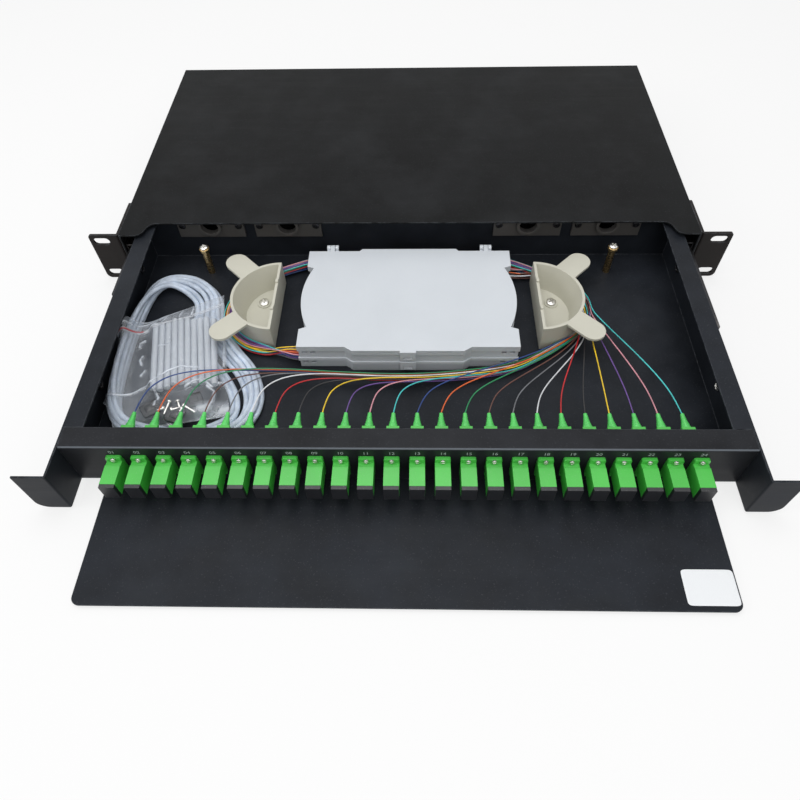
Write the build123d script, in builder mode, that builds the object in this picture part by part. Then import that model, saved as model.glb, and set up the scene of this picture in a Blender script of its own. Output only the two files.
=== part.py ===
"""Sliding fibre distribution panel, one rack unit high, with its drawer pulled out.

Millimetres. X to the right, Y to the rear, Z up. The origin is the middle of the four rack
slots, on the front face of the rack ears. The heights below are above the housing's underside.
"""
from build123d import *
import math
import os

os.makedirs("parts", exist_ok=True)

# Rack ears
unit_height = 43.6
ear_reach = 23.3
ear_sheet = 2.0
ear_leg_length = 41.0
ear_bend_radius = 2.5
ear_top_radius = 2.0
ear_bottom_radius = 4.0
rack_slot_inset = 8.75
rack_slot_spacing_z = 31.75
rack_slot_length = 12.5
rack_slot_width = 6.5
ear_screw_foot = 9.0
ear_screw_headroom = 8.6
ear_screw_front = 12.0
ear_screw_setback = 10.0
ear_screw_shank = 2.0
ear_screw_head = 3.6
ear_screw_head_height = 1.8

# Housing
housing_width = 436.0
housing_depth = 240.0
housing_corner_radius = 1.5
sheet = 1.2
cover_recess_depth = 13.5
cover_recess_margin = 21.0
cover_tab_width = 16.5
cover_step_radius = 7.0
cover_lip_height = 6.0
cover_lip_start = 48.0
cover_lip_setback = 12.0
cover_gap = 0.15
cover_screw_setback = 20.0
cover_screw_rows = 3
cover_screw_head = 2.9
cover_screw_head_height = 1.5
cover_screw_shank = 1.5
cover_screw_length = 5.0
cable_window_width = 128.0
cable_window_height = 24.0
cable_window_foot = 10.0
cable_window_offset = 123.0
cable_window_radius = 4.0

# Ball bearing slides
slide_length = 200.0
slide_height = 27.0
slide_space = 10.0
slide_sheet = 1.0
slide_centre = 18.5
slide_race = 3.0
slide_inner_lip = 1.8
slide_play = 0.3
slide_member_gap = 1.0
slide_setback = 3.0
slide_left_out = 50.0
slide_right_out = 81.5
slide_nose = 6.0
slide_rivet_setbacks = (49.0, 28.0)
slide_rivet_head = 3.2
slide_rivet_shank = 2.0
slide_rivet_head_height = 1.0
slide_screw_reach = 81.4
slide_screw_setback = 13.2
slide_screw_head = 3.4
slide_screw_head_height = 1.6
slide_screw_shank = 1.9

# Drawer, drawn where the travel ends
drawer_travel = 200.0
drawer_reach = 202.2
drawer_length = 225.4
drawer_floor_gap = 0.6
drawer_height = 37.9
drawer_flange = 12.8
panel_setback = 20.2
panel_flange = 14.3
panel_bend_radius = 1.6
panel_return = 11.0
panel_gap = 0.2
hook_reach = 19.0
hook_corner_radius = 7.5
hook_bend_radius = 1.08
shelf_reach = 60.0
shelf_half = 187.5
shelf_corner_radius = 5.0
cable_entry_width = 40.0
cable_entry_foot = 24.5

# Adapters, dust caps and connectors
port_count = 24
port_pitch = 15.21
port_shift = 0.34
port_height = 21.7
adapter_width = 9.3
adapter_height = 12.8
adapter_rear_height = 11.6
adapter_front = 17.8
adapter_rear = 13.0
adapter_flange_height = 19.2
adapter_flange_thickness = 2.2
adapter_flange_radius = 1.2
adapter_screw_spacing = 15.4
adapter_groove_depth = 0.7
adapter_groove_length = 3.0
adapter_socket_width = 7.6
adapter_socket_height = 9.6
adapter_socket_wall = 3.0
adapter_key_width = 3.2
adapter_key_depth = 0.8
adapter_key_length = 5.0
adapter_gap = 0.15
adapter_screw_head = 1.7
adapter_screw_head_height = 1.3
adapter_screw_shank = 0.9
adapter_screw_length = 6.0
sleeve_radius = 1.6
cap_protrusion = 2.4
cap_plug = 9.0
cap_grip_inset = 0.1
connector_plug = 11.0
connector_body = 12.0
connector_width = 8.0
connector_height = 7.6
boot_length = 11.7
boot_base_radius = 2.9
boot_base_length = 1.5
boot_neck_radius = 1.7
boot_neck_start = 6.5
boot_tip_radius = 1.2

# Fibre spools
spool_centre_x = 95.5
spool_setback = 66.7
spool_radius = 33.5
spool_height = 22.0
spool_wall = 2.0
spool_floor = 2.0
spool_draft = 6.0
spool_tab_width = 17.0
spool_tab_reach = 48.5
spool_tab_root = 26.0
spool_tab_thickness = 2.0
spool_tab_angle = 45.0
spool_boss_radius = 5.0
spool_boss_height = 0.8
spool_boss_out = 13.5
spool_boss_back = 9.5
spool_nub_radius = 1.6
spool_nub_spacing = 27.0
spool_nub_height = 1.2
spool_screw_head = 3.6
spool_screw_head_height = 2.0
spool_screw_shank = 1.8

# Gland plates on the drawer's rear wall
gland_places = (-153.5, -93.0, 93.0, 153.5)
gland_width = 52.0
gland_foot = 24.5
gland_height = 15.0
gland_thickness = 2.0
gland_notch_radius = 6.7
gland_notch_centre = 36.4
gland_collar = 2.0
gland_collar_depth = 3.0
gland_screw_spacing = 44.0
gland_screw_height = 35.5
gland_screw_head = 2.6
gland_screw_head_height = 1.4
gland_screw_shank = 1.4

# Cable posts
post_x = 157.0
post_setback = 20.2
post_radius = 2.7
post_collar_radius = 3.8
post_collar_height = 2.2
post_height = 25.0
post_screw_head = 3.2
post_screw_head_height = 2.2
post_screw_shank = 1.5
post_screw_depth = 8.0

# Splice trays, measured from the trays' own middle line
tray_centre_x = 1.5
tray_half_width = 76.7
tray_waist_half = 71.6
tray_bulge_half = 78.0
tray_setback = 21.5
tray_rear_step = 2.3
tray_rear_half = 36.0
tray_length = 95.2
tray_front_step = 3.5
tray_front_half = 38.5
tray_step_slope = 5.0
tray_ear_rear = 16.5
tray_ear_front = 16.0
tray_ear_slope = 2.0
tray_wall = 1.2
tray_rim_height = 3.0
tray_rim_step = 0.8
tray_window_places = (66.2, 72.0)
tray_window_width = 3.4
tray_window_height = 2.8
tray_window_drop = 0.6
tray_floor = 1.5
tray_depth = 10.2
tray_gap = 0.2
tray_cover_thickness = 1.8
tray_port_length = 10.5
tray_port_inset = 6.9
tray_port_height = 8.0
tray_hub_radius = 15.0
tray_hub_height = 6.0
tray_hub_offset = 44.0
tray_comb_pitch = 5.0
tray_comb_slots = 6
tray_comb_wall = 1.4
tray_comb_length = 8.0
tray_comb_height = 5.0
tray_comb_spacing = 36.0
tray_hinge_offset = 59.0
tray_hinge_setback = 7.6
tray_lug_width = 2.4
tray_lug_rise = 5.0
tray_knuckle_width = 3.4
tray_knuckle_play = 0.3
tray_knuckle_radius = 2.4
tray_pin_radius = 1.1
tray_pin_play = 0.3
tray_latch_width = 11.0
tray_latch_thickness = 1.4
tray_latch_gap = 0.25
tray_latch_drop = 7.0
tray_latch_window_width = 6.0
tray_latch_window_height = 2.4
tray_latch_window_drop = 3.4
tray_nib_width = 5.4
tray_nib_height = 1.6
tray_nib_drop = 3.8
tray_nib_reach = 1.3

# Winding of the pigtails round the spools
fibre_diameter = 0.9
winding_radius = 38.2
winding_width = 8.0
winding_height = 7.0
winding_lift = 0.3
winding_stop_gap = 0.8
fibre_start_gap = 0.1
winding_back = 13.3
winding_back_radius = 50.0
winding_first_angle = -58.0
winding_last_angle = 62.0
winding_end_angle = -80.0
winding_lead = 30.0

# Pigtails: the first twelve share a trunk, the others cross to the spool one by one
trunk_count = 12
trunk_rows = 3
trunk_columns = 7
trunk_pitch = 1.3
trunk_layer = 1.4
trunk_join = 68.0
trunk_clear = 12.0
trunk_rise = 0.05
trunk_end_x = 75.0
trunk_stations = (
    (-122.0, -107.0),
    (-76.0, -106.5),
    (-39.0, -109.0),
    (-4.0, -109.5),
    (24.0, -107.5),
    (52.0, -104.0),
    (75.0, -99.5),
)
fan_first_handle = 32.0
fan_last_handle = 46.0
fan_lift = 6.0
crossing_lanes = 6
crossing_pitch = 1.15
crossing_layer = 1.2
crossing_edge = 1.1
crossing_first_angle = -52.0
crossing_angle_step = 4.2
crossing_first_handle = 0.27
crossing_last_handle = 0.5
crossing_side_handle = 0.28
crossing_side_turn = 25.0
crossing_lift = 4.0

# Spare tubing and the bag of spare parts
coil_corners = (
    (-190.0, -13.0),
    (-168.0, -14.0),
    (-150.5, -33.0),
    (-147.0, -56.0),
    (-131.0, -84.0),
    (-113.0, -104.0),
    (-105.0, -128.0),
    (-112.0, -146.0),
    (-130.0, -152.0),
    (-176.0, -152.0),
    (-192.0, -138.0),
    (-197.0, -102.0),
    (-197.0, -40.0),
)
coil_corner_radius = 12.0
coil_width = 16.0
coil_height = 7.2
coil_gap = 0.3
bag_centre_x = -160.4
bag_centre_y = -95.0
bag_turn = 12.0
bag_width = 68.0
bag_length = 108.0
bag_thickness = 5.2
bag_skin = 0.5
bag_corner_radius = 6.0
bag_edge_radius = 2.5
bag_play = 0.2
splice_sleeve_count = 10
splice_sleeve_radius = 1.6
splice_sleeve_length = 60.0
splice_sleeve_pitch = 4.6
splice_sleeve_shift = 14.0
spare_screw_count = 6
spare_screw_radius = 1.9
spare_screw_head = 2.0
spare_screw_length = 12.0
spare_screw_pitch = 8.0
spare_screw_shift = -28.0

# Heights and faces that follow from the sizes
bottom = -unit_height / 2
top = unit_height / 2
half_width = housing_width / 2
ear_half = half_width + ear_reach
ear_screw_rows = (ear_screw_foot, unit_height - ear_screw_headroom)
ear_screw_columns = (ear_screw_front, ear_leg_length - ear_screw_setback)
rack_slot_spacing_x = 2 * (ear_half - rack_slot_inset)
cover_lip_end = housing_depth - cover_lip_setback
cover_recess_half = half_width - cover_recess_margin
cover_tab_half = half_width - cover_tab_width
cover_screw_start = cover_lip_start + cover_screw_setback
cover_screw_last = cover_lip_end - cover_screw_setback
cover_screw_step = (cover_screw_last - cover_screw_start) / (cover_screw_rows - 1)
cover_screw_places = [cover_screw_start + row * cover_screw_step for row in range(cover_screw_rows)]
slide_rivet_places = (
    slide_setback + slide_rivet_setbacks[0],
    slide_setback + slide_length - slide_rivet_setbacks[1],
)
inner_half = half_width - sheet
drawer_half = inner_half - slide_space
drawer_under = bottom + sheet + drawer_floor_gap
drawer_floor = drawer_under + sheet
drawer_top = drawer_under + drawer_height
drawer_front = -drawer_reach
drawer_rear = drawer_front + drawer_length
drawer_inner_half = drawer_half - sheet
drawer_rear_inner = drawer_rear - sheet
spool_centre_y = drawer_rear - spool_setback
post_y = drawer_rear - post_setback
tray_rear = drawer_rear - tray_setback
tray_front = tray_rear - tray_length
panel_front = drawer_front + panel_setback
panel_rear = panel_front + sheet
slide_z = bottom + slide_centre
port_z = bottom + port_height
port_places = [port_shift + (port - (port_count - 1) / 2) * port_pitch for port in range(port_count)]
screw_places_z = (port_z - adapter_screw_spacing / 2, port_z + adapter_screw_spacing / 2)


# Housing tray: floor, side walls and rear wall of folded sheet, open in front and on top
with BuildPart() as housing_tray:
    with BuildSketch(Plane.XY.offset(bottom)):
        with Locations((0, housing_depth / 2)):
            Rectangle(housing_width, housing_depth)
    extrude(amount=unit_height - sheet)
    with BuildSketch(Plane.XY.offset(bottom + sheet)):
        with Locations((0, (housing_depth - sheet) / 2)):
            Rectangle(2 * inner_half, housing_depth - sheet)
    extrude(amount=unit_height, mode=Mode.SUBTRACT)
    # Cable windows in the rear wall
    with BuildSketch(Plane.XZ.offset(-housing_depth)):
        window_middle = bottom + cable_window_foot + cable_window_height / 2
        for side in (-1, 1):
            with Locations((side * cable_window_offset, window_middle)):
                RectangleRounded(cable_window_width, cable_window_height, cable_window_radius)
    extrude(amount=2 * sheet, mode=Mode.SUBTRACT)
    # Holes through both side walls for the ear screws, slide rivets and cover screws
    with BuildSketch(Plane.YZ.offset(-half_width)):
        for column in ear_screw_columns:
            for row in ear_screw_rows:
                with Locations((column, bottom + row)):
                    Circle(ear_screw_shank)
        for place in slide_rivet_places:
            with Locations((place, slide_z)):
                Circle(slide_rivet_shank)
        for place in cover_screw_places:
            with Locations((place, top - sheet - cover_lip_height / 2)):
                Circle(cover_screw_shank + cover_gap)
    extrude(amount=housing_width, mode=Mode.SUBTRACT)
    for corner in (0, -1):
        rear_edges = housing_tray.edges().filter_by(Axis.Z).group_by(Axis.Y)[-1].sort_by(Axis.X)
        fillet(rear_edges[corner], housing_corner_radius)
housing_tray.part.label = "housing_tray"
export_step(housing_tray.part, "parts/housing_tray.step")

# Housing cover: a sheet with its front edge set back between two tabs, and lips inside the walls
with BuildPart() as housing_cover:
    with BuildSketch(Plane.XY.offset(top - sheet)) as cover_outline:
        with BuildLine():
            Polyline(
                (-half_width, 0),
                (-cover_tab_half, 0),
                (-cover_recess_half, cover_recess_depth),
                (cover_recess_half, cover_recess_depth),
                (cover_tab_half, 0),
                (half_width, 0),
                (half_width, housing_depth),
                (-half_width, housing_depth),
                close=True,
            )
        make_face()
        steps = [v for v in cover_outline.vertices() if abs(v.X) < half_width - 1]
        fillet(steps, cover_step_radius)
    extrude(amount=sheet)
    lip_middle = (cover_lip_start + cover_lip_end) / 2
    with BuildSketch(Plane.XY.offset(top - sheet)):
        for side in (-1, 1):
            with Locations((side * (inner_half - cover_gap - sheet / 2), lip_middle)):
                Rectangle(sheet, cover_lip_end - cover_lip_start)
    extrude(amount=-cover_lip_height)
    with BuildSketch(Plane.YZ.offset(-half_width)):
        for place in cover_screw_places:
            with Locations((place, top - sheet - cover_lip_height / 2)):
                Circle(cover_screw_shank)
    extrude(amount=housing_width, mode=Mode.SUBTRACT)
housing_cover.part.label = "housing_cover"
export_step(housing_cover.part, "parts/housing_cover.step")

# Cover screws, from outside through the side walls into the lips
with BuildPart() as cover_screws:
    for side in (-1, 1):
        for radius, start, length in (
            (cover_screw_head, half_width, cover_screw_head_height),
            (cover_screw_shank, half_width, -cover_screw_length),
        ):
            with BuildSketch(Plane.YZ.offset(side * start)):
                for place in cover_screw_places:
                    with Locations((place, top - sheet - cover_lip_height / 2)):
                        Circle(radius)
            extrude(amount=side * length)
cover_screws.part.label = "cover_screws"
export_step(cover_screws.part, "parts/cover_screws.step")

# Rack ear: an angle whose leg lies on the housing's side, with two slots for the rack screws
with BuildPart() as rack_ear_right:
    with BuildSketch(Plane.XY.offset(bottom)):
        with BuildLine():
            Polyline(
                (half_width, 0),
                (ear_half, 0),
                (ear_half, ear_sheet),
                (half_width + ear_sheet, ear_sheet),
                (half_width + ear_sheet, ear_leg_length),
                (half_width, ear_leg_length),
                close=True,
            )
        make_face()
    extrude(amount=unit_height)
    outer_edges = rack_ear_right.edges().filter_by(Axis.Y).group_by(Axis.X)[-1]
    fillet(outer_edges.sort_by(Axis.Z)[-1], ear_top_radius)
    outer_edges = rack_ear_right.edges().filter_by(Axis.Y).group_by(Axis.X)[-1]
    fillet(outer_edges.sort_by(Axis.Z)[0], ear_bottom_radius)
    bend = rack_ear_right.edges().filter_by(Axis.Z).group_by(Axis.X)[0].sort_by(Axis.Y)[0]
    fillet(bend, ear_bend_radius)
    rear_corners = rack_ear_right.edges().filter_by(Axis.X).group_by(Axis.Y)[-1]
    fillet(rear_corners, ear_bottom_radius)
    with BuildSketch(Plane.XZ):
        with GridLocations(rack_slot_spacing_x, rack_slot_spacing_z, 2, 2):
            SlotOverall(rack_slot_length, rack_slot_width)
    extrude(amount=-ear_sheet, mode=Mode.SUBTRACT)
    with BuildSketch(Plane.YZ.offset(half_width)):
        for column in ear_screw_columns:
            for row in ear_screw_rows:
                with Locations((column, bottom + row)):
                    Circle(ear_screw_shank)
    extrude(amount=ear_sheet, mode=Mode.SUBTRACT)
rack_ear_right.part.label = "rack_ear_right"
export_step(rack_ear_right.part, "parts/rack_ear_right.step")

with BuildPart() as rack_ear_left:
    mirror(rack_ear_right.part, about=Plane.YZ)
rack_ear_left.part.label = "rack_ear_left"
export_step(rack_ear_left.part, "parts/rack_ear_left.step")

# Ear screws, ending flush inside the housing wall
with BuildPart() as ear_screws:
    ear_face = half_width + ear_sheet
    for side in (-1, 1):
        for radius, length in (
            (ear_screw_head, ear_screw_head_height),
            (ear_screw_shank, -ear_sheet - sheet),
        ):
            with BuildSketch(Plane.YZ.offset(side * ear_face)):
                for column in ear_screw_columns:
                    for row in ear_screw_rows:
                        with Locations((column, bottom + row)):
                            Circle(radius)
            extrude(amount=side * length)
ear_screws.part.label = "ear_screws"
export_step(ear_screws.part, "parts/ear_screws.step")


# Slide members: channels, each running inside the next, with inturned edges as ball races
def channel_outline(web, edge, half_height, lip):
    """Corners of a channel from its outer web face to the edge of its flanges."""
    wall = math.copysign(slide_sheet, edge - web)
    upper = [
        (web, half_height),
        (edge, half_height),
        (edge, half_height - lip),
        (edge - wall, half_height - lip),
        (edge - wall, half_height - slide_sheet),
        (web + wall, half_height - slide_sheet),
    ]
    return upper + [(x, -z) for x, z in reversed(upper)]


race_lip = slide_race - slide_play
outer_web = inner_half
middle_web = outer_web - slide_sheet - slide_member_gap
inner_web = drawer_half
outer_edge = inner_web + slide_sheet + slide_member_gap
middle_edge = outer_edge - slide_play
inner_edge = middle_web - slide_sheet - slide_member_gap
outer_half_height = slide_height / 2
middle_half_height = outer_half_height - slide_race
inner_half_height = middle_half_height - slide_race

with BuildPart() as slide_outer_right:
    with BuildSketch(Plane(origin=(0, slide_setback, slide_z), x_dir=(1, 0, 0), z_dir=(0, -1, 0))):
        with BuildLine():
            Polyline(*channel_outline(outer_web, outer_edge, outer_half_height, race_lip), close=True)
        make_face()
    extrude(amount=-slide_length)
    with BuildSketch(Plane.YZ.offset(outer_web)):
        for place in slide_rivet_places:
            with Locations((place, slide_z)):
                Circle(slide_rivet_shank)
    extrude(amount=-slide_sheet, mode=Mode.SUBTRACT)
slide_outer_right.part.label = "slide_outer_right"
export_step(slide_outer_right.part, "parts/slide_outer_right.step")

with BuildPart() as slide_outer_left:
    mirror(slide_outer_right.part, about=Plane.YZ)
slide_outer_left.part.label = "slide_outer_left"
export_step(slide_outer_left.part, "parts/slide_outer_left.step")

with BuildPart() as slide_rivets:
    for side in (-1, 1):
        for radius, length in (
            (slide_rivet_head, slide_rivet_head_height),
            (slide_rivet_shank, -sheet - slide_sheet),
        ):
            with BuildSketch(Plane.YZ.offset(side * half_width)):
                for place in slide_rivet_places:
                    with Locations((place, slide_z)):
                        Circle(radius)
            extrude(amount=side * length)
slide_rivets.part.label = "slide_rivets"
export_step(slide_rivets.part, "parts/slide_rivets.step")

# The middle members stand out of the housing by different amounts, as each side's balls left them
for name, side, reach in (
    ("slide_middle_right", 1, slide_right_out),
    ("slide_middle_left", -1, slide_left_out),
):
    with BuildPart() as slide_middle:
        start = slide_setback - reach
        with BuildSketch(Plane(origin=(0, start, slide_z), x_dir=(1, 0, 0), z_dir=(0, -1, 0))):
            with BuildLine():
                corners = channel_outline(middle_web, middle_edge, middle_half_height, race_lip)
                Polyline(*[(side * x, z) for x, z in corners], close=True)
            make_face()
        extrude(amount=-slide_length)
        # The nose is cut back below
        with BuildSketch(Plane.YZ):
            with BuildLine():
                Polyline(
                    (start, slide_z - middle_half_height),
                    (start + slide_nose, slide_z - middle_half_height),
                    (start, slide_z - middle_half_height + slide_nose),
                    close=True,
                )
            make_face()
        extrude(amount=side * housing_width, mode=Mode.SUBTRACT)
    slide_middle.part.label = name
    export_step(slide_middle.part, "parts/" + name + ".step")

# Inner members, screwed to the drawer's side walls
slide_inner_start = slide_setback - drawer_travel
slide_screw_ys = (
    drawer_front + slide_screw_reach,
    slide_inner_start + slide_length - slide_screw_setback,
)
with BuildPart() as slide_inner_right:
    with BuildSketch(Plane(origin=(0, slide_inner_start, slide_z), x_dir=(1, 0, 0), z_dir=(0, -1, 0))):
        with BuildLine():
            Polyline(*channel_outline(inner_web, inner_edge, inner_half_height, slide_inner_lip), close=True)
        make_face()
    extrude(amount=-slide_length)
    with BuildSketch(Plane.YZ.offset(inner_web)):
        for place in slide_screw_ys:
            with Locations((place, slide_z)):
                Circle(slide_screw_shank)
    extrude(amount=slide_sheet, mode=Mode.SUBTRACT)
slide_inner_right.part.label = "slide_inner_right"
export_step(slide_inner_right.part, "parts/slide_inner_right.step")

with BuildPart() as slide_inner_left:
    mirror(slide_inner_right.part, about=Plane.YZ)
slide_inner_left.part.label = "slide_inner_left"
export_step(slide_inner_left.part, "parts/slide_inner_left.step")

with BuildPart() as slide_screws:
    for side in (-1, 1):
        for radius, length in (
            (slide_screw_head, -slide_screw_head_height),
            (slide_screw_shank, sheet + slide_sheet),
        ):
            with BuildSketch(Plane.YZ.offset(side * drawer_inner_half)):
                for place in slide_screw_ys:
                    with Locations((place, slide_z)):
                        Circle(radius)
            extrude(amount=side * length)
slide_screws.part.label = "slide_screws"
export_step(slide_screws.part, "parts/slide_screws.step")


# Drawer tray: one folded sheet with floor, front shelf, side walls, top flanges, rear wall
# and the two front hooks that are bent outward
with BuildPart() as drawer_tray:
    floor_length = drawer_rear - panel_front
    with BuildSketch(Plane.XY.offset(drawer_under)):
        with Locations((0, panel_front + floor_length / 2)):
            Rectangle(2 * drawer_half, floor_length)
    extrude(amount=sheet)
    with BuildSketch(Plane.XY.offset(drawer_under)) as shelf_outline:
        with Locations((0, panel_front - (shelf_reach + panel_setback) / 2)):
            Rectangle(2 * shelf_half, shelf_reach + panel_setback)
        fillet(shelf_outline.vertices().group_by(Axis.Y)[0], shelf_corner_radius)
    extrude(amount=sheet)
    # Side walls run on in front of the adapter panel
    with BuildSketch(Plane.XY.offset(drawer_under)):
        for side in (-1, 1):
            with Locations((side * (drawer_half - sheet / 2), drawer_front + drawer_length / 2)):
                Rectangle(sheet, drawer_length)
        with Locations((0, drawer_rear - sheet / 2)):
            Rectangle(2 * drawer_half, sheet)
    extrude(amount=drawer_height)
    with BuildSketch(Plane.XY.offset(drawer_top - sheet)):
        flange_start = panel_front + panel_flange + panel_gap
        for side in (-1, 1):
            with Locations(
                (side * (drawer_half - drawer_flange / 2), (flange_start + drawer_rear) / 2)
            ):
                Rectangle(drawer_flange, drawer_rear - flange_start)
    extrude(amount=sheet)
    # Hooks
    with BuildSketch(Plane(origin=(0, drawer_front, 0), x_dir=(1, 0, 0), z_dir=(0, -1, 0))) as hooks:
        for side in (-1, 1):
            with Locations(
                (side * (drawer_half + hook_reach / 2 - sheet / 2), drawer_under + drawer_height / 2)
            ):
                Rectangle(hook_reach + sheet, drawer_height)
        low = hooks.vertices().group_by(Axis.Y)[0]
        fillet([low.sort_by(Axis.X)[0], low.sort_by(Axis.X)[-1]], hook_corner_radius)
    extrude(amount=-sheet)
    front_edges = drawer_tray.edges().filter_by(Axis.Z).filter_by_position(
        Axis.Y, drawer_front - 0.1, drawer_front + 0.1
    )
    bends = [e for e in front_edges if abs(abs(e.center().X) - drawer_inner_half) < 0.01]
    fillet(bends, hook_bend_radius)
    # Cable entries in the rear wall, behind the gland plates
    with BuildSketch(Plane.XZ.offset(-drawer_rear)):
        entry_height = drawer_top - bottom - cable_entry_foot
        for place in gland_places:
            with Locations((place, drawer_top - entry_height / 2)):
                Rectangle(cable_entry_width, entry_height)
            for end in (-1, 1):
                with Locations((place + end * gland_screw_spacing / 2, bottom + gland_screw_height)):
                    Circle(gland_screw_shank)
    extrude(amount=sheet, mode=Mode.SUBTRACT)
    with BuildSketch(Plane.YZ.offset(-drawer_half)):
        for place in slide_screw_ys:
            with Locations((place, slide_z)):
                Circle(slide_screw_shank)
    extrude(amount=2 * drawer_half, mode=Mode.SUBTRACT)
drawer_tray.part.label = "drawer_tray"
export_step(drawer_tray.part, "parts/drawer_tray.step")

# Adapter panel: an angle between the side walls, with a cut-out for each adapter
with BuildPart() as adapter_panel:
    panel_half = drawer_inner_half - panel_gap
    panel_height = drawer_top - drawer_floor
    with BuildSketch(Plane.YZ.offset(-panel_half)):
        with BuildLine():
            Polyline(
                (panel_front, drawer_floor),
                (panel_front, drawer_top),
                (panel_front + panel_flange, drawer_top),
                (panel_front + panel_flange, drawer_top - sheet),
                (panel_rear, drawer_top - sheet),
                (panel_rear, drawer_floor),
                close=True,
            )
        make_face()
    extrude(amount=2 * panel_half)
    upper_bend = adapter_panel.edges().filter_by(Axis.X).group_by(Axis.Z)[-1].sort_by(Axis.Y)[0]
    fillet(upper_bend, panel_bend_radius)
    # Returns at both ends, along the drawer's side walls
    with BuildSketch(Plane.XY.offset(drawer_floor)):
        for side in (-1, 1):
            with Locations((side * (panel_half - sheet / 2), panel_rear + panel_return / 2)):
                Rectangle(sheet, panel_return)
    extrude(amount=panel_height - sheet)
    with BuildSketch(Plane.XZ.offset(-panel_front)):
        for place in port_places:
            with Locations((place, port_z)):
                Rectangle(adapter_width + 2 * adapter_gap, adapter_rear_height + 2 * adapter_gap)
            for row in screw_places_z:
                with Locations((place, row)):
                    Circle(adapter_screw_shank)
    extrude(amount=-sheet, mode=Mode.SUBTRACT)
adapter_panel.part.label = "adapter_panel"
export_step(adapter_panel.part, "parts/adapter_panel.step")

# One adapter: a square sleeve with a socket from each side, a keyway and a screwed flange
with BuildPart() as adapter:
    front_plane = Plane(origin=(0, panel_front - adapter_front, port_z), x_dir=(1, 0, 0), z_dir=(0, -1, 0))
    rear_plane = Plane(origin=(0, panel_front + adapter_rear, port_z), x_dir=(1, 0, 0), z_dir=(0, -1, 0))
    face_plane = Plane(origin=(0, panel_front, port_z), x_dir=(1, 0, 0), z_dir=(0, -1, 0))
    with BuildSketch(face_plane):
        Rectangle(adapter_width, adapter_height)
    extrude(amount=adapter_front)
    with BuildSketch(rear_plane):
        Rectangle(adapter_width, adapter_rear_height)
    extrude(amount=adapter_rear)
    # Grooves above and below, which the screw heads stand in
    with BuildSketch(Plane.YZ.offset(-adapter_width)):
        groove_front = panel_front - adapter_flange_thickness - adapter_groove_length / 2
        for side in (-1, 1):
            with Locations((groove_front, port_z + side * adapter_height / 2)):
                Rectangle(adapter_groove_length, 2 * adapter_groove_depth)
    extrude(amount=2 * adapter_width, mode=Mode.SUBTRACT)
    with BuildSketch(face_plane):
        RectangleRounded(adapter_width, adapter_flange_height, adapter_flange_radius)
    extrude(amount=adapter_flange_thickness)
    with BuildSketch(face_plane):
        with GridLocations(0, adapter_screw_spacing, 1, 2):
            Circle(adapter_screw_shank)
    extrude(amount=adapter_flange_thickness, mode=Mode.SUBTRACT)
    with BuildSketch(front_plane):
        Rectangle(adapter_socket_width, adapter_socket_height)
    extrude(amount=adapter_socket_wall / 2 - adapter_front, mode=Mode.SUBTRACT)
    with BuildSketch(rear_plane):
        Rectangle(adapter_socket_width, adapter_socket_height)
    extrude(amount=adapter_rear - adapter_socket_wall / 2, mode=Mode.SUBTRACT)
    with BuildSketch(front_plane):
        with Locations((0, adapter_socket_height / 2)):
            Rectangle(adapter_key_width, 2 * adapter_key_depth)
    extrude(amount=-adapter_key_length, mode=Mode.SUBTRACT)
    with BuildSketch(face_plane):
        Circle(sleeve_radius)
    extrude(amount=adapter_socket_wall, both=True, mode=Mode.SUBTRACT)

port_locations = [Location((place, 0, 0)) for place in port_places]

with BuildPart() as sc_adapters:
    with Locations(*port_locations):
        add(adapter.part)
sc_adapters.part.label = "sc_adapters"
export_step(sc_adapters.part, "parts/sc_adapters.step")

# Adapter screws, two for each flange
with BuildPart() as adapter_screws:
    head_seat = panel_front - adapter_flange_thickness
    for radius, length in (
        (adapter_screw_head, adapter_screw_head_height),
        (adapter_screw_shank, -adapter_screw_length),
    ):
        with BuildSketch(Plane.XZ.offset(-head_seat)):
            for place in port_places:
                for row in screw_places_z:
                    with Locations((place, row)):
                        Circle(radius)
        extrude(amount=length)
adapter_screws.part.label = "adapter_screws"
export_step(adapter_screws.part, "parts/adapter_screws.step")

# Dust caps in the front sockets, with a narrower grip
with BuildPart() as dust_cap:
    cap_width = adapter_socket_width - 2 * adapter_gap
    cap_height = adapter_socket_height - 2 * adapter_gap
    with BuildSketch(front_plane):
        Rectangle(cap_width, cap_height)
    extrude(amount=-cap_plug)
    with BuildSketch(front_plane):
        Rectangle(adapter_width - 2 * cap_grip_inset, adapter_height - 2 * cap_grip_inset)
    extrude(amount=cap_protrusion)

with BuildPart() as dust_caps:
    with Locations(*port_locations):
        add(dust_cap.part)
dust_caps.part.label = "dust_caps"
export_step(dust_caps.part, "parts/dust_caps.step")

# Connectors in the rear sockets, each with its grip and strain relief boot
with BuildPart() as connector:
    with BuildSketch(rear_plane):
        Rectangle(adapter_socket_width - 2 * adapter_gap, adapter_socket_height - 2 * adapter_gap)
    extrude(amount=connector_plug)
    with BuildSketch(rear_plane):
        Rectangle(connector_width, connector_height)
    extrude(amount=-connector_body)

with BuildPart() as sc_connectors:
    with Locations(*port_locations):
        add(connector.part)
sc_connectors.part.label = "sc_connectors"
export_step(sc_connectors.part, "parts/sc_connectors.step")

boot_start = panel_front + adapter_rear + connector_body
boot_tip = boot_start + boot_length
with BuildPart() as boot:
    with BuildSketch(Plane.YZ):
        with BuildLine():
            Polyline(
                (boot_start, port_z),
                (boot_start, port_z + boot_base_radius),
                (boot_start + boot_base_length, port_z + boot_base_radius),
                (boot_start + boot_neck_start, port_z + boot_neck_radius),
                (boot_tip, port_z + boot_tip_radius),
                (boot_tip, port_z),
                close=True,
            )
        make_face()
    revolve(axis=Axis((0, 0, port_z), (0, 1, 0)))

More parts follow.
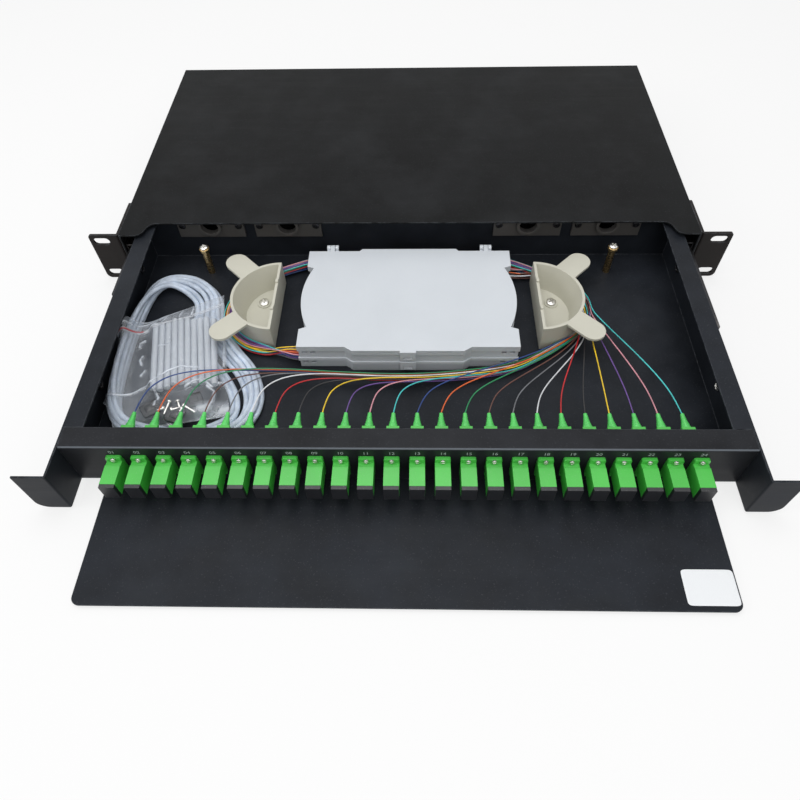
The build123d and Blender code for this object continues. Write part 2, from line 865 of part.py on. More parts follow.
with BuildPart() as connector_boots:
    with Locations(*port_locations):
        add(boot.part)
connector_boots.part.label = "connector_boots"
export_step(connector_boots.part, "parts/connector_boots.step")


# Fibre spool: a half-round cup with drafted inner wall, two retaining tabs and a screwed boss
spool_top = drawer_floor + spool_height
with BuildPart() as spool_right:
    with BuildSketch(Plane.XY.offset(drawer_floor)):
        with BuildLine():
            Line(
                (spool_centre_x, spool_centre_y - spool_radius),
                (spool_centre_x, spool_centre_y + spool_radius),
            )
            ThreePointArc(
                (spool_centre_x, spool_centre_y + spool_radius),
                (spool_centre_x + spool_radius, spool_centre_y),
                (spool_centre_x, spool_centre_y - spool_radius),
            )
        make_face()
    extrude(amount=spool_height)
    for angle in (-spool_tab_angle, spool_tab_angle):
        turn = math.radians(angle)
        tab_plane = Plane(
            origin=(spool_centre_x, spool_centre_y, spool_top),
            x_dir=(math.cos(turn), math.sin(turn), 0),
            z_dir=(0, 0, 1),
        )
        with BuildSketch(tab_plane):
            with Locations(((spool_tab_reach + spool_tab_root) / 2, 0)):
                SlotCenterToCenter(spool_tab_reach - spool_tab_root, spool_tab_width)
        extrude(amount=-spool_tab_thickness)
    # The cup, wide at the rim and narrower at its floor
    cup_front = spool_centre_x + spool_wall
    cup_radius = spool_radius - spool_wall
    cup_reach = math.sqrt(cup_radius**2 - spool_wall**2)
    foot_radius = cup_radius - spool_draft
    foot_reach = math.sqrt(foot_radius**2 - spool_wall**2)
    for level, radius, reach in (
        (drawer_floor + spool_floor, foot_radius, foot_reach),
        (spool_top, cup_radius, cup_reach),
    ):
        with BuildSketch(Plane.XY.offset(level)):
            with BuildLine():
                Line((cup_front, spool_centre_y - reach), (cup_front, spool_centre_y + reach))
                ThreePointArc(
                    (cup_front, spool_centre_y + reach),
                    (spool_centre_x + radius, spool_centre_y),
                    (cup_front, spool_centre_y - reach),
                )
            make_face()
    loft(mode=Mode.SUBTRACT)
    # Boss with its screw hole, and two nubs on the flat wall's rim
    boss = (spool_centre_x + spool_boss_out, spool_centre_y + spool_boss_back)
    with BuildSketch(Plane.XY.offset(drawer_floor + spool_floor)):
        with Locations(boss):
            Circle(spool_boss_radius)
    extrude(amount=spool_boss_height)
    with BuildSketch(Plane.XY.offset(drawer_floor)):
        with Locations(boss):
            Circle(spool_screw_shank)
    extrude(amount=spool_height / 2, mode=Mode.SUBTRACT)
    with BuildSketch(Plane.XY.offset(spool_top)):
        for step in (-1, 1):
            with Locations((spool_centre_x + spool_wall / 2, spool_centre_y + step * spool_nub_spacing / 2)):
                Rectangle(spool_wall, 2 * spool_nub_radius)
    extrude(amount=spool_nub_height)
spool_right.part.label = "spool_right"
export_step(spool_right.part, "parts/spool_right.step")

with BuildPart() as spool_left:
    mirror(spool_right.part, about=Plane.YZ)
spool_left.part.label = "spool_left"
export_step(spool_left.part, "parts/spool_left.step")

with BuildPart() as spool_screws:
    boss_top = drawer_floor + spool_floor + spool_boss_height
    for radius, length in (
        (spool_screw_head, spool_screw_head_height),
        (spool_screw_shank, -spool_floor - spool_boss_height),
    ):
        with BuildSketch(Plane.XY.offset(boss_top)):
            for side in (-1, 1):
                with Locations((side * boss[0], boss[1])):
                    Circle(radius)
        extrude(amount=length)
spool_screws.part.label = "spool_screws"
export_step(spool_screws.part, "parts/spool_screws.step")

# Gland plates: blanking plates over the cable entries, with a collared notch each
gland_front = drawer_rear_inner - gland_thickness
gland_plane = Plane(origin=(0, gland_front, bottom), x_dir=(1, 0, 0), z_dir=(0, -1, 0))
with BuildPart() as gland_plates:
    with BuildSketch(gland_plane):
        for place in gland_places:
            with Locations((place, gland_foot + gland_height / 2)):
                Rectangle(gland_width, gland_height)
    extrude(amount=-gland_thickness)
    with BuildSketch(gland_plane):
        for place in gland_places:
            with Locations((place, gland_notch_centre)):
                Circle(gland_notch_radius + gland_collar)
            with Locations((place, gland_foot + gland_height + gland_notch_radius + gland_collar)):
                Rectangle(gland_width, 2 * (gland_notch_radius + gland_collar), mode=Mode.SUBTRACT)
    extrude(amount=gland_collar_depth)
    with BuildSketch(gland_plane):
        for place in gland_places:
            with Locations((place, gland_notch_centre)):
                Circle(gland_notch_radius)
            for end in (-1, 1):
                with Locations((place + end * gland_screw_spacing / 2, gland_screw_height)):
                    Circle(gland_screw_shank)
    extrude(amount=gland_collar_depth + gland_thickness, both=True, mode=Mode.SUBTRACT)
gland_plates.part.label = "gland_plates"
export_step(gland_plates.part, "parts/gland_plates.step")

with BuildPart() as gland_screws:
    for radius, length in (
        (gland_screw_head, gland_screw_head_height),
        (gland_screw_shank, -gland_thickness - sheet),
    ):
        with BuildSketch(gland_plane):
            for place in gland_places:
                for end in (-1, 1):
                    with Locations((place + end * gland_screw_spacing / 2, gland_screw_height)):
                        Circle(radius)
        extrude(amount=length)
gland_screws.part.label = "gland_screws"
export_step(gland_screws.part, "parts/gland_screws.step")

# Cable posts: turned pillars with a collar, drilled for the clamp screw
with BuildPart() as cable_posts:
    with BuildSketch(Plane.XY.offset(drawer_floor)):
        for side in (-1, 1):
            with Locations((side * post_x, post_y)):
                Circle(post_radius)
    extrude(amount=post_height)
    with BuildSketch(Plane.XY.offset(drawer_floor + post_height)):
        for side in (-1, 1):
            with Locations((side * post_x, post_y)):
                Circle(post_collar_radius)
    extrude(amount=-post_collar_height)
    with BuildSketch(Plane.XY.offset(drawer_floor + post_height)):
        for side in (-1, 1):
            with Locations((side * post_x, post_y)):
                Circle(post_screw_shank)
    extrude(amount=-post_screw_depth, mode=Mode.SUBTRACT)
cable_posts.part.label = "cable_posts"
export_step(cable_posts.part, "parts/cable_posts.step")

with BuildPart() as post_screws:
    for radius, length in ((post_screw_head, post_screw_head_height), (post_screw_shank, -post_screw_depth)):
        with BuildSketch(Plane.XY.offset(drawer_floor + post_height)):
            for side in (-1, 1):
                with Locations((side * post_x, post_y)):
                    Circle(radius)
        extrude(amount=length)
post_screws.part.label = "post_screws"
export_step(post_screws.part, "parts/post_screws.step")


# Splice trays. Their outline: corner ears, bulging sides between them, stepped front and rear
tray_ear_front_y = tray_front + tray_ear_front
tray_ear_rear_y = tray_rear - tray_ear_rear
tray_middle_y = (tray_front + tray_rear) / 2
lower_under = drawer_floor
lower_top = lower_under + tray_depth
upper_under = lower_top + tray_gap
upper_top = upper_under + tray_depth
cover_under = upper_top + tray_gap
cover_top = cover_under + tray_cover_thickness
hinge_y = tray_rear + tray_hinge_setback - tray_knuckle_radius
tray_nose_y = tray_front - tray_front_step
tray_root = tray_rim_step + tray_wall
tray_foot = tray_rim_step + tray_wall / 2


def level(height):
    """The horizontal plane at a height, about the trays' middle line."""
    return Plane(origin=(tray_centre_x, 0, height), x_dir=(1, 0, 0), z_dir=(0, 0, 1))


def upright(offset):
    """The plane across the trays at an offset from their middle line, seen from the right."""
    return Plane(origin=(tray_centre_x + offset, 0, 0), x_dir=(0, 1, 0), z_dir=(1, 0, 0))


def draw_tray(height, inset):
    """Draw the tray's outline at a height, drawn in by an inset."""
    half = tray_half_width - inset
    waist = tray_waist_half - inset
    front = tray_front + inset
    rear = tray_rear - inset
    ear_front = tray_ear_front_y - inset
    ear_rear = tray_ear_rear_y + inset
    with BuildSketch(level(height)) as outline:
        with BuildLine():
            for side in (-1, 1):
                Polyline(
                    (0, front - tray_front_step),
                    (side * tray_front_half, front - tray_front_step),
                    (side * (tray_front_half + tray_step_slope), front),
                    (side * half, front),
                    (side * half, ear_front),
                    (side * waist, ear_front + tray_ear_slope),
                )
                ThreePointArc(
                    (side * waist, ear_front + tray_ear_slope),
                    (side * (tray_bulge_half - inset), (ear_front + ear_rear) / 2),
                    (side * waist, ear_rear - tray_ear_slope),
                )
                Polyline(
                    (side * waist, ear_rear - tray_ear_slope),
                    (side * half, ear_rear),
                    (side * half, rear),
                    (side * (tray_rear_half + tray_ear_slope), rear),
                    (side * tray_rear_half, rear + tray_rear_step),
                    (0, rear + tray_rear_step),
                )
        make_face()
    return outline.sketch


def shape_tray(under):
    """An open tray with its ports, windows, winding hubs and sleeve combs."""
    rim_under = under + tray_depth - tray_rim_height
    extrude(draw_tray(under, tray_rim_step), amount=tray_depth)
    extrude(draw_tray(rim_under, 0), amount=tray_rim_height)
    extrude(draw_tray(under + tray_floor, tray_root), amount=tray_depth, mode=Mode.SUBTRACT)
    # Small windows in the front wall of both ears, under the rim
    with BuildSketch(Plane.XZ.offset(-tray_front)) as windows:
        window_middle = rim_under - tray_window_drop - tray_window_height / 2
        for side in (-1, 1):
            for place in tray_window_places:
                with Locations((tray_centre_x + side * place, window_middle)):
                    Rectangle(tray_window_width, tray_window_height)
    extrude(windows.sketch, amount=-tray_root - tray_wall / 2, mode=Mode.SUBTRACT)
    # Ports through the side walls at the corner ears, open at the top
    with BuildSketch(level(under + tray_depth)) as ports:
        for side in (-1, 1):
            for port in (tray_front + tray_port_inset, tray_rear - tray_port_inset):
                with Locations((side * tray_half_width, port)):
                    Rectangle(4 * tray_root, tray_port_length)
    extrude(ports.sketch, amount=-tray_port_height, mode=Mode.SUBTRACT)
    # Hubs that keep the fibre's bend
    with BuildSketch(level(under + tray_floor)) as hubs:
        for side in (-1, 1):
            with Locations((side * tray_hub_offset, tray_middle_y)):
                Circle(tray_hub_radius)
                Circle(tray_hub_radius - tray_comb_wall, mode=Mode.SUBTRACT)
    extrude(hubs.sketch, amount=tray_hub_height)
    # Combs for the splice sleeves
    with BuildSketch(level(under + tray_floor)) as combs:
        for row in (-1, 1):
            with Locations((0, tray_middle_y + row * tray_comb_spacing / 2)):
                with GridLocations(tray_comb_pitch, 0, tray_comb_slots, 1):
                    Rectangle(tray_comb_wall, tray_comb_length)
    extrude(combs.sketch, amount=tray_comb_height)


def shape_lugs(axis_z, foot):
    """Two pairs of hinge lugs behind the rear wall, with a pin between each pair."""
    root = tray_rear - tray_foot
    lug_offset = (tray_knuckle_width + tray_lug_width) / 2 + tray_knuckle_play
    for side in (-1, 1):
        for centre in (tray_hinge_offset - lug_offset, tray_hinge_offset + lug_offset):
            with BuildSketch(upright(side * centre - tray_lug_width / 2)) as lug:
                with BuildLine():
                    Polyline((root, foot), (root, axis_z), (hinge_y - tray_knuckle_radius, axis_z))
                    ThreePointArc(
                        (hinge_y - tray_knuckle_radius, axis_z),
                        (hinge_y, axis_z + tray_knuckle_radius),
                        (hinge_y + tray_knuckle_radius, axis_z),
                    )
                    Polyline(
                        (hinge_y + tray_knuckle_radius, axis_z),
                        (hinge_y + tray_knuckle_radius, foot + tray_lug_rise),
                        (root, foot),
                    )
                make_face()
            extrude(lug.sketch, amount=tray_lug_width)
        pin_half = tray_knuckle_width / 2 + tray_knuckle_play
        with BuildSketch(upright(side * tray_hinge_offset - pin_half)) as pin:
            with Locations((hinge_y, axis_z)):
                Circle(tray_pin_radius)
        extrude(pin.sketch, amount=2 * pin_half)


def shape_knuckles(axis_z, arm_top):
    """Rings round the pins, each on an arm from the rear edge."""
    for side in (-1, 1):
        with BuildSketch(upright(side * tray_hinge_offset - tray_knuckle_width / 2)) as knuckle:
            with BuildLine():
                Polyline(
                    (tray_rear - tray_foot, axis_z),
                    (hinge_y, axis_z),
                    (hinge_y, axis_z + tray_knuckle_radius),
                    (tray_rear - tray_foot, arm_top),
                    close=True,
                )
            make_face()
            with Locations((hinge_y, axis_z)):
                Circle(tray_knuckle_radius)
                Circle(tray_pin_radius + tray_pin_play, mode=Mode.SUBTRACT)
        extrude(knuckle.sketch, amount=tray_knuckle_width)


def shape_nib(height):
    """A nib on the front wall, which the tongue that hangs from a height snaps over."""
    nib_top = height - tray_nib_drop
    nib_under = nib_top - tray_nib_height
    with BuildSketch(upright(-tray_nib_width / 2)) as nib:
        with BuildLine():
            Polyline(
                (tray_nose_y + tray_foot, nib_top),
                (tray_nose_y, nib_top),
                (tray_nose_y - tray_nib_reach, nib_top - tray_nib_height / 2),
                (tray_nose_y - tray_nib_reach, nib_under),
                (tray_nose_y + tray_foot, nib_under),
                close=True,
            )
        make_face()
    extrude(nib.sketch, amount=tray_nib_width)


def shape_latch(height, root):
    """A tongue that hangs from a height in front of the wall below, with a window for its nib."""
    latch_back = tray_nose_y - tray_latch_gap
    latch_front = latch_back - tray_latch_thickness
    with BuildSketch(upright(-tray_latch_width / 2)) as latch:
        with BuildLine():
            Polyline(
                (tray_nose_y + tray_foot, root),
                (latch_front, root),
                (latch_front, height - tray_latch_drop),
                (latch_back, height - tray_latch_drop),
                (latch_back, height),
                (tray_nose_y + tray_foot, height),
                close=True,
            )
        make_face()
    extrude(latch.sketch, amount=tray_latch_width)
    with BuildSketch(Plane.XZ.offset(-latch_front)) as window:
        with Locations((tray_centre_x, height - tray_latch_window_drop - tray_latch_window_height / 2)):
            Rectangle(tray_latch_window_width, tray_latch_window_height)
    extrude(window.sketch, amount=-tray_latch_thickness, mode=Mode.SUBTRACT)


with BuildPart() as splice_tray_lower:
    shape_tray(lower_under)
    shape_lugs(upper_under, lower_under)
    shape_nib(upper_under)
splice_tray_lower.part.label = "splice_tray_lower"
export_step(splice_tray_lower.part, "parts/splice_tray_lower.step")

with BuildPart() as splice_tray_upper:
    shape_tray(upper_under)
    shape_knuckles(upper_under, upper_under + tray_depth / 2)
    shape_lugs(cover_under, upper_top - tray_lug_rise)
    shape_latch(upper_under, upper_under + tray_latch_thickness)
    shape_nib(cover_under)
splice_tray_upper.part.label = "splice_tray_upper"
export_step(splice_tray_upper.part, "parts/splice_tray_upper.step")

with BuildPart() as tray_cover:
    extrude(draw_tray(cover_under, 0), amount=tray_cover_thickness)
    shape_knuckles(cover_under, cover_top)
    shape_latch(cover_under, cover_top)
tray_cover.part.label = "tray_cover"
export_step(tray_cover.part, "parts/tray_cover.step")


# Winding: the slack of all pigtails round both spools and behind the trays, as one soft ring
winding_under = drawer_floor + winding_lift
winding_top = winding_under + winding_height
winding_back_y = tray_rear + winding_back
spool_turn = Vector(spool_centre_x, spool_centre_y)


def round_spool(angle, radius):
    """A point at an angle and radius about the right spool's middle."""
    turn = math.radians(angle)
    return spool_turn + Vector(math.cos(turn), math.sin(turn)) * radius


def along_spool(angle):
    """The direction of the winding at an angle about the right spool's middle."""
    turn = math.radians(angle)
    return Vector(-math.sin(turn), math.cos(turn))


first_touch = round_spool(winding_first_angle, winding_radius)
winding_entry = first_touch - along_spool(winding_first_angle) * winding_lead
leave = round_spool(winding_last_angle, winding_radius)
leave_run = (winding_back_y - leave.Y) / math.sin(math.radians(winding_last_angle + 90))
corner = leave + along_spool(winding_last_angle) * leave_run
mirrored_end = round_spool(winding_end_angle, winding_radius)
landing = Vector(-mirrored_end.X, mirrored_end.Y)
landing_direction = Vector(along_spool(winding_end_angle).X, -along_spool(winding_end_angle).Y)
winding_stop_x = tray_centre_x - tray_half_width - winding_stop_gap
landing_run = (winding_stop_x - landing.X) / landing_direction.X
port_entry = Vector(tray_centre_x + tray_half_width + winding_stop_gap, tray_rear - tray_port_inset)

with BuildPart() as fibre_winding:
    with BuildSketch(Plane.XY.offset(winding_under)):
        with BuildLine() as winding_line:
            Line(winding_entry, first_touch)
            CenterArc(
                spool_turn, winding_radius, winding_first_angle, winding_last_angle - winding_first_angle
            )
            FilletPolyline(
                leave, corner, (-corner.X, corner.Y), (-leave.X, leave.Y), radius=winding_back_radius
            )
            CenterArc(
                (-spool_centre_x, spool_centre_y),
                winding_radius,
                180 - winding_last_angle,
                winding_last_angle - winding_end_angle,
            )
            Line(landing, landing + landing_direction * landing_run)
        trace(line_width=winding_width)
        # The strands that leave for the trays' rear right port
        with BuildLine():
            Line(port_entry, (spool_centre_x + winding_radius / 2, port_entry.Y))
        trace(line_width=winding_width)
    extrude(amount=winding_height)
fibre_winding.part.label = "fibre_winding"
export_step(fibre_winding.part, "parts/fibre_winding.step")


# Pigtails, from the boot's tip to the winding
def bend_radii(points):
    """The largest radius that each bend's two runs allow."""
    radii = []
    for before, point, after in zip(points, points[1:], points[2:]):
        turn = math.radians((point - before).get_angle(after - point))
        shorter = min((point - before).length, (after - point).length)
        radii.append(0.45 * shorter / math.tan(turn / 2))
    return radii


def bezier(points, steps):
    """Points of a cubic curve from its four control points."""
    first, second, third, last = points
    return [
        first * (1 - t) ** 3 + second * (3 * t * (1 - t) ** 2) + third * (3 * t**2 * (1 - t)) + last * t**3
        for t in steps
    ]


def fibre_start(number):
    """The point behind a boot where its pigtail comes out."""
    return Vector(port_places[number - 1], boot_tip + fibre_start_gap, port_z)


def trunk_route(number):
    """Route of a pigtail that runs along the trunk into the winding's first face."""
    column, row = divmod(number - 1, trunk_rows)
    across = (trunk_columns - 1) / 2 * trunk_pitch - column * trunk_pitch
    height = winding_under + winding_height / 2 + (row - (trunk_rows - 1) / 2) * trunk_layer
    tip = fibre_start(number)
    join_x = tip.X + trunk_join
    stations = [(x, y + across) for x, y in trunk_stations]
    for (x0, y0), (x1, y1) in zip(stations, stations[1:]):
        if x0 <= join_x <= x1:
            heading = Vector(x1 - x0, y1 - y0).normalized()
            join_y = y0 + (y1 - y0) * (join_x - x0) / (x1 - x0)
    join = Vector(join_x, join_y, height + trunk_rise * (trunk_end_x - join_x))
    curve = bezier(
        (
            tip,
            tip + Vector(0, fan_first_handle, 0),
            join - heading * fan_last_handle + Vector(0, 0, fan_lift),
            join,
        ),
        (0, 0.16, 0.34, 0.54, 0.77, 1),
    )
    rest = [
        Vector(x, y, height + trunk_rise * max(trunk_end_x - x, 0))
        for x, y in stations
        if x > join_x + trunk_clear
    ]
    left = Vector(-along_spool(winding_first_angle).Y, along_spool(winding_first_angle).X)
    end = winding_entry + left * across + Vector(0, 0, height)
    return curve + rest + [end]


def crossing_route(number):
    """Route of a pigtail that crosses on to the winding's upper side beside the right spool."""
    place = number - trunk_count - 1
    layer, lane = divmod(place, crossing_lanes)
    angle = crossing_first_angle + place * crossing_angle_step
    radius = winding_radius - winding_width / 2 + crossing_edge + lane * crossing_pitch
    height = winding_top + winding_lift + fibre_diameter / 2 + layer * crossing_layer
    tip = fibre_start(number)
    end = round_spool(angle, radius) + Vector(0, 0, height)
    reach = (end - tip).length
    share = place / (port_count - trunk_count - 1)
    last_handle = crossing_last_handle + share * (crossing_side_handle - crossing_last_handle)
    heading = along_spool(angle + share * crossing_side_turn)
    return bezier(
        (
            tip,
            tip + Vector(0, crossing_first_handle * reach, 0),
            end - heading * (last_handle * reach) + Vector(0, 0, crossing_lift),
            end,
        ),
        (0, 0.15, 0.32, 0.52, 0.74, 0.9, 1),
    )


for number in range(1, port_count + 1):
    points = trunk_route(number) if number <= trunk_count else crossing_route(number)
    radii = bend_radii(points)
    with BuildPart() as pigtail:
        with BuildLine():
            path = FilletPolyline(*points, radius=radii)
        with BuildSketch(Plane(origin=points[0], z_dir=points[1] - points[0])):
            Circle(fibre_diameter / 2)
        sweep(path=path)
    section = math.pi * fibre_diameter**2 / 4
    print(
        f"pigtail {number:02d}: {path.length:.1f} long, least radius {min(radii):.1f},",
        f"volume {pigtail.part.volume / (section * path.length):.4f} of section by length",
    )
    name = f"pigtail_{number:02d}"
    pigtail.part.label = name
    export_step(pigtail.part, "parts/" + name + ".step")


# Coil of spare clear tubing beside the left spool, as the ring that its turns fill
with BuildPart() as tubing_coil:
    with BuildSketch(Plane.XY.offset(drawer_floor + coil_gap)) as coil_outline:
        with BuildLine() as coil_line:
            FilletPolyline(*coil_corners, radius=coil_corner_radius, close=True)
        trace(line_width=coil_width)
    extrude(amount=coil_height)
tubing_coil.part.label = "tubing_coil"
export_step(tubing_coil.part, "parts/tubing_coil.step")

# Bag of spare parts lying on the coil, hollow, with the splice sleeves and screws in it
bag_under = drawer_floor + coil_gap + coil_height + coil_gap


def bag_plane(height):
    """The bag's own plane at a height."""
    turn = math.radians(bag_turn)
    return Plane(
        origin=(bag_centre_x, bag_centre_y, height),
        x_dir=(math.cos(turn), math.sin(turn), 0),
        z_dir=(0, 0, 1),
    )


with BuildPart() as bag_outside:
    with BuildSketch(bag_plane(bag_under)):
        RectangleRounded(bag_width, bag_length, bag_corner_radius)
    extrude(amount=bag_thickness)
    rims = bag_outside.edges().group_by(Axis.Z)
    fillet(rims[0] + rims[-1], bag_edge_radius)

with BuildPart() as bag_inside:
    with BuildSketch(bag_plane(bag_under + bag_skin)):
        RectangleRounded(bag_width - 2 * bag_skin, bag_length - 2 * bag_skin, bag_corner_radius - bag_skin)
    extrude(amount=bag_thickness - 2 * bag_skin)
    rims = bag_inside.edges().group_by(Axis.Z)
    fillet(rims[0] + rims[-1], bag_edge_radius - bag_skin)

with BuildPart() as accessory_bag:
    add(bag_outside.part)
    add(bag_inside.part, mode=Mode.SUBTRACT)
accessory_bag.part.label = "accessory_bag"
export_step(accessory_bag.part, "parts/accessory_bag.step")

# Heat shrink splice sleeves and spare screws, lying on the bag's lower side
bag_bed = bag_under + bag_skin + bag_play
with BuildPart() as splice_sleeves:
    sleeve_bed = bag_plane(bag_bed + splice_sleeve_radius)
    for place in range(splice_sleeve_count):
        across = (place - (splice_sleeve_count - 1) / 2) * splice_sleeve_pitch
        sleeve_start = splice_sleeve_shift - splice_sleeve_length / 2
        start = sleeve_bed.from_local_coords(Vector(across, sleeve_start, 0))
        with BuildSketch(Plane(origin=start, x_dir=sleeve_bed.x_dir, z_dir=sleeve_bed.y_dir)):
            Circle(splice_sleeve_radius)
        extrude(amount=splice_sleeve_length)
splice_sleeves.part.label = "splice_sleeves"
export_step(splice_sleeves.part, "parts/splice_sleeves.step")

with BuildPart() as spare_screws:
    screw_bed = bag_plane(bag_bed + spare_screw_radius)
    for place in range(spare_screw_count):
        across = (place - (spare_screw_count - 1) / 2) * spare_screw_pitch
        start = screw_bed.from_local_coords(Vector(across, spare_screw_shift, 0))
        with BuildSketch(Plane(origin=start, x_dir=screw_bed.x_dir, z_dir=screw_bed.y_dir)):
            Circle(spare_screw_radius)
        extrude(amount=spare_screw_head)
        with BuildSketch(Plane(origin=start, x_dir=screw_bed.x_dir, z_dir=screw_bed.y_dir)):
            Circle(spare_screw_radius / 2)
        extrude(amount=-spare_screw_length)
spare_screws.part.label = "spare_screws"
export_step(spare_screws.part, "parts/spare_screws.step")
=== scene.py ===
"""Looks of a sliding fibre distribution panel: finishes, pigtails, tubing, bag and screws.

Metres, X to the right, Y to the rear, Z up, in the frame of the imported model. Lengths that the
panel's makers would give in millimetres are written in millimetres and multiplied by MM.
"""

import logging
import math
from dataclasses import dataclass
from enum import Enum

import bmesh
import bpy
import numpy as np
from mathutils import Matrix, Vector


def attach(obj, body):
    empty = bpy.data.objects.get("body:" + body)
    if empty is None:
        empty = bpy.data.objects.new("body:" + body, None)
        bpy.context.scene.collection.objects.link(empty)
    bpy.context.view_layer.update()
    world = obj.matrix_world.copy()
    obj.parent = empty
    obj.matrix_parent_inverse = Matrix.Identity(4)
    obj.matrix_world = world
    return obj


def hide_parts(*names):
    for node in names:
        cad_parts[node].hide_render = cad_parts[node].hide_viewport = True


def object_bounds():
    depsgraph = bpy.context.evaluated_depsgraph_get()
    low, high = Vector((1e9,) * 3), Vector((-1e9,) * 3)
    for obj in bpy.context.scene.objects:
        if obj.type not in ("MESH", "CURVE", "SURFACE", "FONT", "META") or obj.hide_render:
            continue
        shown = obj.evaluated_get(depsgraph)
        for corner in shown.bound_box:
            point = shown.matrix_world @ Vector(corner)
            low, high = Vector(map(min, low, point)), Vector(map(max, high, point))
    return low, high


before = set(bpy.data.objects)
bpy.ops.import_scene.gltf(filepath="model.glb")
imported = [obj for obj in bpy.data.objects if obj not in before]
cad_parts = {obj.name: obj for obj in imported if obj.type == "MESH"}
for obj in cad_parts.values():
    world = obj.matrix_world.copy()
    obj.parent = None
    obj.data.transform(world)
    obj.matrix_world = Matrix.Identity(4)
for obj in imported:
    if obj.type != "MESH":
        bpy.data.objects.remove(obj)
CAD_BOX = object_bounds()

MM = 0.001
SHARP_ANGLE = 38
WHITE = (1.0, 1.0, 1.0, 1.0)
FLOAT, VECTOR = "NodeSocketFloat", "NodeSocketVector"
log = logging.getLogger("fibre_panel")

Pair = tuple[float, float]
Triple = tuple[float, float, float]
Colour = Triple
Points = np.ndarray
Piece = bpy.types.Object
Socket = bpy.types.NodeSocket
Node = bpy.types.Node
Tree = bpy.types.NodeTree


class Body(str, Enum):
    """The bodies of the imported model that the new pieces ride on."""

    HOUSING = "housing"
    DRAWER = "drawer"


class Jacket(Enum):
    """The twelve jacket colours of buffered fibre, in their usual order, as linear colours."""

    BLUE = (0.008, 0.045, 0.21)
    ORANGE = (0.72, 0.12, 0.018)
    GREEN = (0.006, 0.22, 0.075)
    BROWN = (0.12, 0.042, 0.028)
    SLATE = (0.15, 0.155, 0.17)
    WHITE = (0.72, 0.73, 0.76)
    RED = (0.52, 0.008, 0.012)
    BLACK = (0.012, 0.012, 0.014)
    YELLOW = (0.85, 0.57, 0.02)
    VIOLET = (0.13, 0.06, 0.27)
    PINK = (0.64, 0.28, 0.33)
    AQUA = (0.06, 0.55, 0.55)

    @classmethod
    def of(cls, number: int) -> "Jacket":
        """The jacket of a pigtail, by its number from 1 to 24."""
        return list(cls)[(number - 1) % len(cls)]


@dataclass(frozen=True)
class PortRow:
    """The row of ports across the panel, the same for its holes, boots and numbers. Millimetres."""

    count: int = 24
    pitch: float = 15.21
    shift: float = 0.34

    def x(self, port: float | Points) -> float | Points:
        """Where a port is across the panel, by its place in the row from 0."""
        return self.shift + (port - (self.count - 1) / 2) * self.pitch

    def all(self) -> Points:
        """Where every port is."""
        return self.x(np.arange(self.count))


PORTS = PortRow()


class Graph:
    """A node tree that is filled node by node."""

    def __init__(self, tree: Tree) -> None:
        """Args: tree: the tree to fill, which is emptied first."""
        self.tree = tree
        tree.nodes.clear()

    def add(self, kind: str, inputs: dict | None = None, **settings: object) -> Node:
        """Adds a node.

        Args:
            kind: the node's type name.
            inputs: socket name or index to a value or to another node's output socket.
            settings: attributes of the node.

        Returns:
            The new node.
        """
        node = self.tree.nodes.new(kind)
        for name, value in settings.items():
            setattr(node, name, value)
        self.feed(node, inputs or {})
        return node

    def feed(self, node: Node, inputs: dict) -> None:
        """Sets a node's inputs by name or index, each to a value or from an output socket."""
        for name, value in inputs.items():
            if isinstance(value, Socket):
                self.tree.links.new(value, node.inputs[name])
            else:
                node.inputs[name].default_value = value

    def group(self, tree: Tree, **inputs: float) -> bpy.types.NodeOutputs:
        """Places a shared group. Returns: its output sockets, by name."""
        return self.add("ShaderNodeGroup", inputs, node_tree=tree).outputs

    def calc(self, operation: str, *terms: object) -> Socket:
        """The result of a Math node with the given operation and terms."""
        inputs = dict(enumerate(terms))
        return self.add("ShaderNodeMath", inputs, operation=operation).outputs[0]

    def dot(self, first: object, second: object) -> Socket:
        """The dot product of two vectors."""
        inputs = {0: first, 1: second}
        node = self.add("ShaderNodeVectorMath", inputs, operation="DOT_PRODUCT")
        return node.outputs["Value"]

    def normal(self) -> Socket:
        """The normal of the surface as it stands, before any bump."""
        return self.add("ShaderNodeNewGeometry").outputs["Normal"]

    def remap(
        self, value: object, low: float, high: float, to_low: float = 0.0, to_high: float = 1.0
    ) -> Socket:
        """A value carried from one range to another and held inside it."""
        inputs = {
            "Value": value, "From Min": low, "From Max": high, "To Min": to_low, "To Max": to_high
        }
        return self.add("ShaderNodeMapRange", inputs).outputs["Result"]

    def blend(self, share: object, *colours: object) -> Socket:
        """A colour between two colours, by a share from 0 to 1."""
        first, second = (c if isinstance(c, Socket) else (*c, 1.0) for c in colours)
        inputs = {0: share, 6: first, 7: second}
        return self.add("ShaderNodeMix", inputs, data_type="RGBA").outputs[2]

    def noise(
        self, scale: object, detail: float = 3.0, roughness: float = 0.5,
        stretch: Triple = (1.0, 1.0, 1.0),
    ) -> Socket:
        """Noise on Object coordinates, stretched by a factor along each axis."""
        place = self.add("ShaderNodeTexCoord").outputs["Object"]
        if stretch != (1.0, 1.0, 1.0):
            place = self.add("ShaderNodeMapping", {"Vector": place, "Scale": stretch}).outputs[0]
        inputs = {"Vector": place, "Scale": scale, "Detail": detail, "Roughness": roughness}
        return self.add("ShaderNodeTexNoise", inputs).outputs["Fac"]


